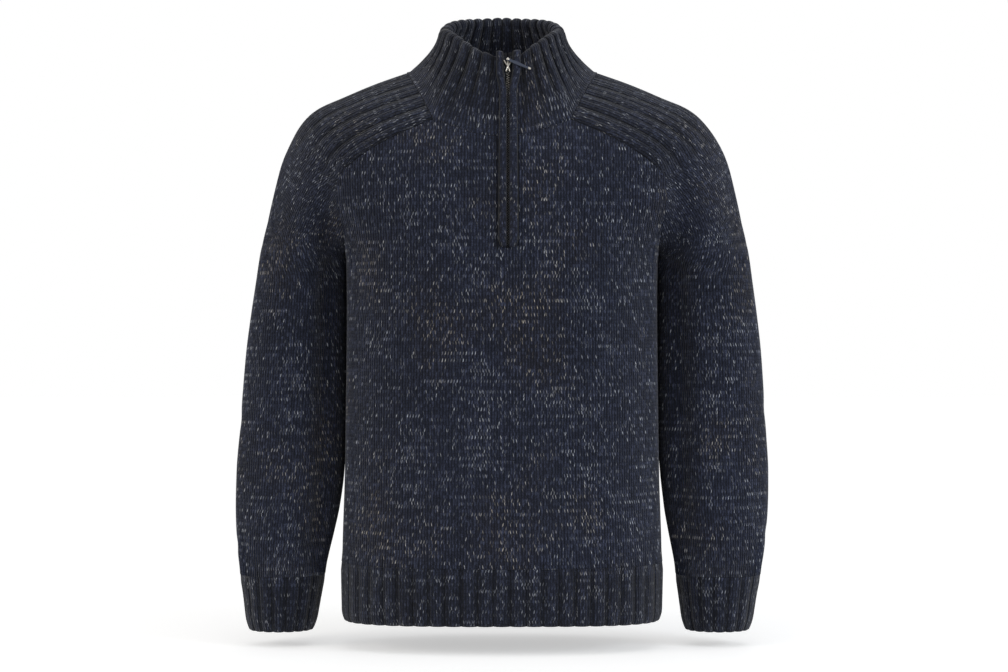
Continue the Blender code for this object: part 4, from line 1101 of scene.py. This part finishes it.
def slider(finish):
    """Cast slider: two arms, a waist and two legs round the teeth, and a domed stud."""
    foot, right, up, out = slider_axes()
    limbs = [cast_limb(*limb) for limb in SLIDER_LIMBS]
    turn = np.linspace(0, 2 * math.pi, 17)[None]
    stud = np.array(STUD_PROFILE)
    limbs.append(np.stack((stud[:, :1] * np.cos(-turn), stud[:, :1] * np.sin(-turn),
                           stud[:, 1:] + 0 * turn), axis=-1))
    verts, faces, first = [], [], 0
    for limb in limbs:
        rows, columns = limb.shape[:2]
        index = first + np.arange(rows * (columns - 1)).reshape(rows, columns - 1)
        after = np.roll(index, -1, axis=1)
        faces.append(np.stack((index[:-1], index[1:], after[1:], after[:-1]),
                              axis=-1).reshape(-1, 4))
        verts.append(limb[:, :-1].reshape(-1, 3))
        first += rows * (columns - 1)
    local = np.concatenate(verts)
    points = foot + local @ np.stack((right, up, out))
    piece = new_mesh("slider_cast", points, np.concatenate(faces), np.zeros((len(points), 2)),
                     np.ones(len(points)), finish)
    shape = bmesh.new()
    shape.from_mesh(piece.data)
    bmesh.ops.remove_doubles(shape, verts=shape.verts, dist=0.001 * MM)
    bmesh.ops.recalc_face_normals(shape, faces=shape.faces)
    shape.to_mesh(piece.data)
    shape.free()
    return piece


# ---------------------------------------------------------------- finishes

def linear(hex_colour):
    """An sRGB hex colour as linear red, green and blue."""
    channels = np.array([int(hex_colour[k:k + 2], 16) for k in (1, 3, 5)]) / 255
    return tuple(np.where(channels <= 0.04045, channels / 12.92,
                          ((channels + 0.055) / 1.055) ** 2.4).tolist())


def add_node(tree, kind, *inputs, out=0, **settings):
    """An output of a new node, or the node where out is None. Its inputs are sockets or
    values, in order or in one dictionary; the kind of a sum ends in its operation."""
    kind, _, operation = kind.partition(" ")
    made = tree.nodes.new("ShaderNode" + kind)
    if operation:
        made.operation = operation
    for key, value in settings.items():
        setattr(made, key, value)
    named = inputs[0] if inputs and isinstance(inputs[0], dict) else dict(enumerate(inputs))
    for key, value in named.items():
        if isinstance(value, bpy.types.NodeSocket):
            tree.links.new(value, made.inputs[key])
        else:
            made.inputs[key].default_value = value
    return made if out is None else made.outputs[out]


def new_finish(name, values):
    """A material with values on its shader's own sockets, what adds its nodes, and what
    links one of their outputs to a socket of the shader."""
    finish = bpy.data.materials.new(name)
    finish.use_nodes = True
    tree = finish.node_tree
    shader = tree.nodes["Principled BSDF"]
    for socket, value in values.items():
        shader.inputs[socket].default_value = value

    def feed(socket, output):
        tree.links.new(output, shader.inputs[socket])

    return finish, partial(add_node, tree), feed


# The legs of a stitch slant up from the middle of its wale, in courses for each wale.
STITCH_SLANT = 1.1
# How the yarn varies: smooth noise in cells of so many legs and courses, on a layer of its own
# and with so much detail. Runs of flecks and ply, lighter patches, and browner parts.
YARN_RUNS = (24.0, 1.1, 0.0, 1.0)
YARN_PATCHES = (40.0, 18.0, 7.0, 2.0)
YARN_BROWNS = (56.0, 30.0, 31.0, 1.0)
# Cells to a metre. Hairs of wool and tumbling marks are finer than a pixel, so they are drawn
# 1.4 and 1.1 mm wide, as coarse as they need to show.
HAIR_CELLS = 700.0
TUMBLING_CELLS = 900.0
# The tape's threads are 0.7 mm apart (a sine of so many radians to a millimetre), and its
# herringbone turns every 2 mm.
THREAD_TURN = 9.0
HERRINGBONE = 2.0
# The pull tab's enamel is worn off this far from its end, over an edge 1.4 mm wide.
WORN_TIP = 3.5
WORN_EDGE = (-0.5, 0.9)
# Distances from the origin in metres at which the light table starts to be plain glow, and is.
TABLE_NEAR, TABLE_FAR = 0.74, 1.3


# Wool is dull and scatters light from its hairs as a faint sheen. Shade between stitches is painted
# into its colour.
def knitted_yarn(name, colours, fleck_share, furrow, stitch_shade=0.28, bump=0.8):
    """Chunky marled wool in stocking stitch, dull and hairy: a column of Vs to each wale, with
    shade painted where two wales meet. A share of the legs carry a grey-blue ply, and a few a cream
    or grey fleck, in runs along the courses as the yarn lies."""
    finish, add, feed = new_finish(name, {
        "Roughness": 0.92, "Specular IOR Level": 0.2, "Sheen Weight": 0.16,
        "Sheen Roughness": 0.5})
    base, brown, light, fleck, cool_fleck = [(*colour, 1) for colour in colours]

    # Where a point lies in its wale, in one of the wale's two legs and in its course.
    across, up, _ = add("SeparateXYZ", add("UVMap", uv_map="stitches"), out=None).outputs
    from_middle = add("Math ABSOLUTE", add("Math SUBTRACT", add("Math FRACT", across), 0.5))
    along_leg = add("Math SUBTRACT", up, add("Math MULTIPLY", from_middle, STITCH_SLANT))
    legs = add("Math MULTIPLY", across, 2.0)
    leg, course = add("Math FLOOR", legs), add("Math FLOOR", along_leg)
    off_leg = add("Math SUBTRACT", add("Math FRACT", legs), 0.5)
    off_course = add("Math SUBTRACT", add("Math FRACT", along_leg), 0.5)
    from_leg, from_course = add("Math ABSOLUTE", off_leg), add("Math ABSOLUTE", off_course)

    # The stitch's rise: each part is 1 less a power of twice the distance from its middle.
    wale, strand, twin = (
        add("Math SUBTRACT", 1.0, add("Math POWER", add("Math MULTIPLY", away, 2.0), power))
        for away, power in ((from_middle, 1.8), (from_course, 3.0), (from_leg, 3.0)))
    stitch = add("Math MULTIPLY", wale, add("Math MULTIPLY_ADD", strand, 0.4, 0.6))
    stitch = add("Math MULTIPLY", stitch, add("Math MULTIPLY_ADD", twin, 0.3, 0.7))

    # One throw of three dice for each leg of each course, and three slow changes of the yarn.
    dice = add("TexWhiteNoise", {"Vector": add("CombineXYZ", leg, course, 0.0)}, out="Color",
               noise_dimensions="3D")
    first, second, third = add("SeparateColor", dice, out=None).outputs
    run, patch, tint = (
        add("TexNoise", {"Vector": add("CombineXYZ", add("Math DIVIDE", leg, wide),
                                       add("Math DIVIDE", course, tall), layer),
                         "Scale": 1.0, "Detail": detail}, noise_dimensions="3D")
        for wide, tall, layer, detail in (YARN_RUNS, YARN_PATCHES, YARN_BROWNS))

    # Flecks: likelier in a run and on alternate legs, each a slanting stroke along its leg.
    likely = add("Math MULTIPLY", add("Math POWER", add("Math MULTIPLY", run, 2.0), 3.6),
                 add("Math MULTIPLY", patch, 2.0))
    alternate = add("Math MODULO", add("Math ADD", leg, course), 2.0)
    one_leg = add("Math ABSOLUTE", add("Math SUBTRACT", alternate, 0.15))
    chance = add("Math MULTIPLY", add("Math MULTIPLY", likely, one_leg), fleck_share)
    leg_side = add("Math SIGN", add("Math SUBTRACT", 0.5, add("Math FRACT", across)))
    lean = add("Math MULTIPLY", off_course, leg_side)
    off_line = add("Math MULTIPLY", add("Math MULTIPLY_ADD", lean, 0.5, off_leg), 3.2)
    stroke = add("Math SUBTRACT", 1.0, add("Math POWER", off_line, 2.0))
    ends = add("Math SUBTRACT", 1.0,
               add("Math POWER", add("Math MULTIPLY", from_course, 2.0), 2.0))
    stroke = add("Math MULTIPLY", add("Math MAXIMUM", stroke, 0.0), ends)
    fleck_here = add("Math MULTIPLY", add("Math GREATER_THAN", chance, first), stroke)
    strength = add("Math MULTIPLY_ADD", add("Math POWER", third, 2.6), 0.85, 0.13)
    flecked = add("Math MULTIPLY", fleck_here, strength)
    plied = add("Math MULTIPLY", add("Math POWER", second, 3.0),
                add("Math MULTIPLY", run, 1.8))
    is_brown = add("MapRange", {"Value": tint, "From Min": 0.5, "From Max": 0.68})
    fleck_colour = add("Mix", {0: is_brown, 6: cool_fleck, 7: fleck}, out=2, data_type="RGBA")
    colour = add("Mix", {0: is_brown, 6: base, 7: brown}, out=2, data_type="RGBA")
    colour = add("Mix", {0: plied, 6: colour, 7: light}, out=2, data_type="RGBA")
    colour = add("Mix", {0: flecked, 6: colour, 7: fleck_colour}, out=2, data_type="RGBA")

    # Painted shade in the colour: between the stitches, in the furrows of ribs and other shaded
    # places of each piece, and between the hairs; then the yarn's lighter and darker patches.
    hair = add("TexNoise", {"Vector": add("TexCoord", out="Object"), "Scale": HAIR_CELLS,
                            "Detail": 2.0}, noise_dimensions="3D")
    painted_shading = add("Attribute", out="Fac", attribute_type="GEOMETRY", attribute_name="painted_shading")
    hairy = add("Math MAXIMUM", add("Math MULTIPLY_ADD", hair, 3.0, -0.4), 0.1)
    shade = add("Math MULTIPLY_ADD", stitch, 1 - stitch_shade, stitch_shade)
    for part in (add("Math MULTIPLY_ADD", painted_shading, 1 - furrow, furrow), hairy,
                 add("Math MULTIPLY_ADD", patch, 0.4, 0.8)):
        shade = add("Math MULTIPLY", shade, part)
    feed("Base Color", add("VectorMath SCALE", {0: colour, "Scale": shade}))
    feed("Normal", add("Bump", {"Strength": 1.0, "Distance": bump * MM,
                                "Height": add("Math MULTIPLY_ADD", hair, 0.3, stitch)}))
    return finish


# Nickel silver, cast and tumbled: pale and bright, with marks that soften its reflections.
def satin_metal(name, colour, roughness):
    """Cast and tumbled zip metal: fine noise moves its roughness and dents it slightly."""
    finish, add, feed = new_finish(name, {"Base Color": (*colour, 1), "Metallic": 1.0})
    marks = add("TexNoise", {"Vector": add("TexCoord", out="Object"), "Scale": TUMBLING_CELLS,
                             "Detail": 3.0}, noise_dimensions="3D")
    feed("Roughness", add("MapRange", {
        "Value": marks, "From Min": 0.3, "From Max": 0.7,
        "To Min": roughness - 0.08, "To Max": roughness + 0.12}))
    feed("Normal", add("Bump", {"Strength": 0.4, "Distance": 0.05 * MM, "Height": marks}))
    return finish


# Polyester tape, woven close: dull and nearly black, with a faint twill.
def woven_tape(name, colour):
    """Herringbone twill: a sine of the place down the tape, offset by a zigzag across."""
    finish, add, feed = new_finish(name, {"Roughness": 0.8})
    across, up, _ = add("SeparateXYZ", add("UVMap", uv_map="stitches"), out=None).outputs
    slanted = add("Math ADD", up, add("Math PINGPONG", across, HERRINGBONE))
    thread = add("Math SINE", add("Math MULTIPLY", slanted, THREAD_TURN))
    tone = add("MapRange", {"Value": thread, "From Min": -1.0, "To Min": 0.6, "To Max": 1.2})
    feed("Base Color", add("VectorMath SCALE", {0: colour, "Scale": tone}))
    feed("Normal", add("Bump", {"Strength": 0.6, "Distance": 0.1 * MM, "Height": thread}))
    return finish


# Enamel over cast zinc: half gloss and navy, and bright metal where it has worn off.
def enamelled_pull(name, colour, bare):
    """Navy enamel on a cast tab, worn to bare metal at its tip by a smooth step along it."""
    finish, add, feed = new_finish(name, {"Roughness": 0.38})
    along, _, _ = add("SeparateXYZ", add("TexCoord", out="Object"), out=None).outputs
    tip_x = (ZIP_X + (PULL_LENGTH - WORN_TIP) * math.cos(PULL_DROOP)) * MM
    worn = add("MapRange", {"Value": along, "From Min": tip_x + WORN_EDGE[0] * MM,
                            "From Max": tip_x + WORN_EDGE[1] * MM},
               interpolation_type="SMOOTHSTEP")
    feed("Base Color", add("Mix", {0: worn, 6: (*colour, 1), 7: (*bare, 1)}, out=2,
                           data_type="RGBA"))
    feed("Metallic", worn)
    return finish


# Opal acrylic, cast: dull and pale, and it glows evenly, so shadows on it are soft and grey.
def light_table(name, colour):
    """A light table: its own colour near the garment turns to plain glow far out by a smooth
    step of the distance, and less of the glow reaches the garment than the eye."""
    finish, add, feed = new_finish(name, {
        "Roughness": 0.9, "Specular IOR Level": 0.1, "Emission Color": (1, 1, 1, 1)})
    away = add("VectorMath LENGTH", add("TexCoord", out="Object"), out="Value")
    far = add("MapRange", {"Value": away, "From Min": TABLE_NEAR, "From Max": TABLE_FAR},
              interpolation_type="SMOOTHSTEP")
    feed("Base Color", add("Mix", {0: far, 6: (*colour, 1), 7: (0.0, 0.0, 0.0, 1)}, out=2,
                           data_type="RGBA"))
    seen = add("LightPath", out="Is Camera Ray")
    feed("Emission Strength", add(
        "Math MULTIPLY",
        add("MapRange", {"Value": far, "To Min": TABLE_GLOW, "To Max": 1.0}),
        add("MapRange", {"Value": seen, "To Min": GLOW_ON_CLOTH, "To Max": 1.0})))
    return finish


# ---------------------------------------------------------------- settings and operators

class SweaterSettings(bpy.types.PropertyGroup):
    """Sizes and colours of the knit that a user would change."""

    wale_width: bpy.props.FloatProperty(
        name="Wale width", description="Width of one column of stitches",
        default=3.6 * MM, min=2 * MM, max=8 * MM, unit="LENGTH", subtype="DISTANCE")
    course_height: bpy.props.FloatProperty(
        name="Course height", description="Height of one row of stitches",
        default=4.2 * MM, min=2 * MM, max=8 * MM, unit="LENGTH", subtype="DISTANCE")
    wale_relief: bpy.props.FloatProperty(
        name="Wale relief", description="How far a column of stitches stands out",
        default=0.9 * MM, min=0.0, max=2 * MM, unit="LENGTH", subtype="DISTANCE")
    fleck_share: bpy.props.FloatProperty(
        name="Fleck share", description="Share of the stitch legs that are cream flecks",
        default=0.225, min=0.0, max=1.0, subtype="FACTOR")
    yarn: bpy.props.FloatVectorProperty(
        name="Yarn", description="Main colour of the yarn", subtype="COLOR", size=3,
        default=linear("#222738"), min=0, max=1)
    yarn_brown: bpy.props.FloatVectorProperty(
        name="Yarn, browner parts", description="Colour of the yarn where it is dyed browner",
        subtype="COLOR", size=3, default=linear("#252734"), min=0, max=1)
    yarn_ply: bpy.props.FloatVectorProperty(
        name="Lighter ply", description="Lighter ply that marls the yarn", subtype="COLOR",
        size=3, default=linear("#454b62"), min=0, max=1)
    fleck: bpy.props.FloatVectorProperty(
        name="Fleck", description="Colour of the flecks", subtype="COLOR", size=3,
        default=linear("#efe4d3"), min=0, max=1)
    cool_fleck: bpy.props.FloatVectorProperty(
        name="Cool fleck", description="Colour of the greyer flecks", subtype="COLOR", size=3,
        default=linear("#e3e8f2"), min=0, max=1)
    metal: bpy.props.FloatVectorProperty(
        name="Zip metal", description="Colour of the teeth and the slider", subtype="COLOR",
        size=3, default=linear("#e6e1d8"), min=0, max=1)
    pull: bpy.props.FloatVectorProperty(
        name="Pull tab", description="Enamel of the pull tab", subtype="COLOR", size=3,
        default=linear("#3f4658"), min=0, max=1)


def yarn_colours(settings):
    """The yarn's five colours, from the ground to the flecks."""
    return (settings.yarn, settings.yarn_brown, settings.yarn_ply, settings.fleck,
            settings.cool_fleck)


def plain_knit(settings):
    """The body's and sleeves' yarn, made once."""
    name = "navy marled wool, stocking stitch"
    return bpy.data.materials.get(name) or knitted_yarn(
        name, yarn_colours(settings), settings.fleck_share, 0.3)


def rib_knit(settings):
    """The same yarn in ribs, with deeper painted shade in the furrows, made once."""
    name = "navy marled wool, rib stitch"
    return bpy.data.materials.get(name) or knitted_yarn(
        name, yarn_colours(settings), settings.fleck_share * RIB_FLECKS, 0.2)


class SWEATER_OT_panels(bpy.types.Operator):
    """Knit the front and the back"""

    bl_idname = "sweater.panels"
    bl_label = "Front and back"

    def execute(self, context):
        settings = context.scene.sweater
        for kind in ("front", "back"):
            dress(panel(kind, settings, plain_knit(settings)), kind)
        return {"FINISHED"}


class SWEATER_OT_sleeves(bpy.types.Operator):
    """Knit the two sleeves with their saddles"""

    bl_idname = "sweater.sleeves"
    bl_label = "Sleeves"

    def execute(self, context):
        settings = context.scene.sweater
        for side, node in ((-1, "sleeve_left"), (1, "sleeve_right")):
            dress(sleeve(side, settings, plain_knit(settings)), node)
        return {"FINISHED"}


class SWEATER_OT_ribs(bpy.types.Operator):
    """Knit the ribbed hem and cuffs"""

    bl_idname = "sweater.ribs"
    bl_label = "Hem and cuffs"

    def execute(self, context):
        settings = context.scene.sweater
        for kind in ("front", "back"):
            dress(hem(kind, settings, rib_knit(settings)), "hem_" + kind)
        for side, node in ((-1, "cuff_left"), (1, "cuff_right")):
            dress(cuff(side, settings, rib_knit(settings)), node)
        return {"FINISHED"}


class SWEATER_OT_collar(bpy.types.Operator):
    """Knit the ribbed stand collar"""

    bl_idname = "sweater.collar"
    bl_label = "Collar"

    def execute(self, context):
        settings = context.scene.sweater
        dress(collar(settings, rib_knit(settings)), "collar")
        return {"FINISHED"}


class SWEATER_OT_zip(bpy.types.Operator):
    """Set in the zip: bindings, tapes, teeth, slider and pull tab"""

    bl_idname = "sweater.zip"
    bl_label = "Zip"

    def execute(self, context):
        settings = context.scene.sweater
        # Painted shade: the bindings' yarn is a darker copy of the body's.
        darker = [tuple(EDGING_SHADE_TONE * channel for channel in colour)
                  for colour in yarn_colours(settings)]
        edging = knitted_yarn("navy marled wool, edging", darker,
                              settings.fleck_share * EDGING_FLECKS, 0.1, stitch_shade=0.5,
                              bump=0.4)
        dark_tape = woven_tape("polyester zip tape", linear("#15171f"))
        metal = satin_metal("satin nickel silver", settings.metal, 0.3)
        for name in ("left", "right"):
            dress(binding(name, edging), "binding_" + name)
            dress(tape(name, dark_tape), "zip_tape_" + name)
        dress(zip_teeth(metal), "zip_chain")
        dress(slider(metal), "zip_slider")
        enamel = enamelled_pull("navy enamel on zinc", settings.pull, settings.metal)
        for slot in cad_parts["zip_pull"].material_slots:
            slot.material = enamel
        return {"FINISHED"}


# ---------------------------------------------------------------- stage

# Camera in metres, and how wide the frame is at the garment.
CAMERA_DISTANCE = 3.0
CAMERA_X = 0.0025
CAMERA_Z = -0.329
FRAME_WIDTH_AT_GARMENT = 1.26
SENSOR_WIDTH = 36.0
FLOOR_Z = (CUFF_BOTTOM - 22) * MM
FLOOR_HALF = 12.0
TABLE_GLOW = 0.5
GLOW_ON_CLOTH = 0.16
ROOM_LIGHT = 0.45

LIGHTS_AIM = (0, 0, -0.3)
# Softboxes: where they stand, how wide they are, their power in watts and their tint.
LIGHTS = (
    ("left softbox", (-2.6, -1.5, 0.7), 1.4, 27, (1, 0.965, 0.9)),
    ("right softbox", (2.6, -1.6, 0.6), 1.4, 35, (0.88, 0.94, 1)),
    ("right strip", (2.8, -0.4, 0.4), 1.4, 3, (0.88, 0.94, 1)),
    ("top softbox", (0.2, -1.1, 2.2), 1.8, 8, (1, 1, 1)),
    ("back softbox", (0.4, 3.2, 1.5), 2.2, 14, (1, 1, 1)),
)


def area_light(name, place, size, power, colour):
    """A square soft light at a place in metres, facing the garment."""
    lamp = bpy.data.lights.new(name, "AREA")
    lamp.shape = "SQUARE"
    lamp.size = size
    lamp.energy = power
    lamp.color = colour
    holder = bpy.data.objects.new(name, lamp)
    ahead = unit(np.array(place, dtype=float) - np.array(LIGHTS_AIM, dtype=float))
    right = unit(np.cross((0.0, 0.0, 1.0), ahead))
    turned = Matrix.Identity(4)
    for column, axis in enumerate((right, np.cross(ahead, right), ahead)):
        turned.col[column][:3] = axis
    turned.translation = place
    holder.matrix_world = turned
    bpy.context.scene.collection.objects.link(holder)


class SWEATER_OT_stage(bpy.types.Operator):
    """Lay the pale floor and set the soft lights and the camera"""

    bl_idname = "sweater.stage"
    bl_label = "Stage"

    def execute(self, context):
        corners = [(x * FLOOR_HALF, y * FLOOR_HALF, FLOOR_Z)
                   for x, y in ((-1, -1), (1, -1), (1, 1), (-1, 1))]
        mesh = bpy.data.meshes.new("floor")
        mesh.from_pydata(corners, [], [(0, 1, 2, 3)])
        mesh.materials.append(light_table("opal light table", linear("#e6e6e6")))
        floor = bpy.data.objects.new("floor", mesh)
        context.scene.collection.objects.link(floor)
        world = bpy.data.worlds.new("studio")
        world.use_nodes = True
        add = partial(add_node, world.node_tree)
        sky = world.node_tree.nodes["Background"]
        sky.inputs["Color"].default_value = (1, 1, 1, 1)
        strength = add("MapRange", {"Value": add("LightPath", out="Is Camera Ray"),
                                    "To Min": ROOM_LIGHT, "To Max": 1.0})
        world.node_tree.links.new(strength, sky.inputs["Strength"])
        context.scene.world = world
        for light in LIGHTS:
            area_light(*light)
        camera = bpy.data.cameras.new("camera")
        camera.sensor_width = SENSOR_WIDTH
        camera.lens = SENSOR_WIDTH * CAMERA_DISTANCE / FRAME_WIDTH_AT_GARMENT
        eye = bpy.data.objects.new("camera", camera)
        eye.location = (CAMERA_X, -CAMERA_DISTANCE, CAMERA_Z)
        eye.rotation_euler = (math.pi / 2, 0, 0)
        context.scene.collection.objects.link(eye)
        context.scene.camera = eye
        context.scene.view_settings.view_transform = "Standard"
        return {"FINISHED"}


PIECES = (SWEATER_OT_panels, SWEATER_OT_sleeves, SWEATER_OT_ribs, SWEATER_OT_collar,
          SWEATER_OT_zip, SWEATER_OT_stage)


class SWEATER_PT_pieces(bpy.types.Panel):
    """Lists the sizes and the pieces in the sidebar"""

    bl_label = "Half-zip sweater"
    bl_idname = "SWEATER_PT_pieces"
    bl_space_type = "VIEW_3D"
    bl_region_type = "UI"
    bl_category = "Sweater"

    def draw(self, context):
        settings = context.scene.sweater
        for name in settings.bl_rna.properties.keys():
            if name not in ("rna_type", "name"):
                self.layout.prop(settings, name)
        for operator in PIECES:
            self.layout.operator(operator.bl_idname)


CLASSES = (SweaterSettings, *PIECES, SWEATER_PT_pieces)


def register():
    for each in CLASSES:
        bpy.utils.register_class(each)
    bpy.types.Scene.sweater = bpy.props.PointerProperty(type=SweaterSettings)


def unregister():
    del bpy.types.Scene.sweater
    for each in reversed(CLASSES):
        bpy.utils.unregister_class(each)


def main():
    """Registers the add-on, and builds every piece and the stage."""
    register()
    bpy.ops.sweater.panels()
    bpy.ops.sweater.sleeves()
    bpy.ops.sweater.ribs()
    bpy.ops.sweater.collar()
    bpy.ops.sweater.zip()
    bpy.ops.sweater.stage()


if __name__ == "__main__":
    main()
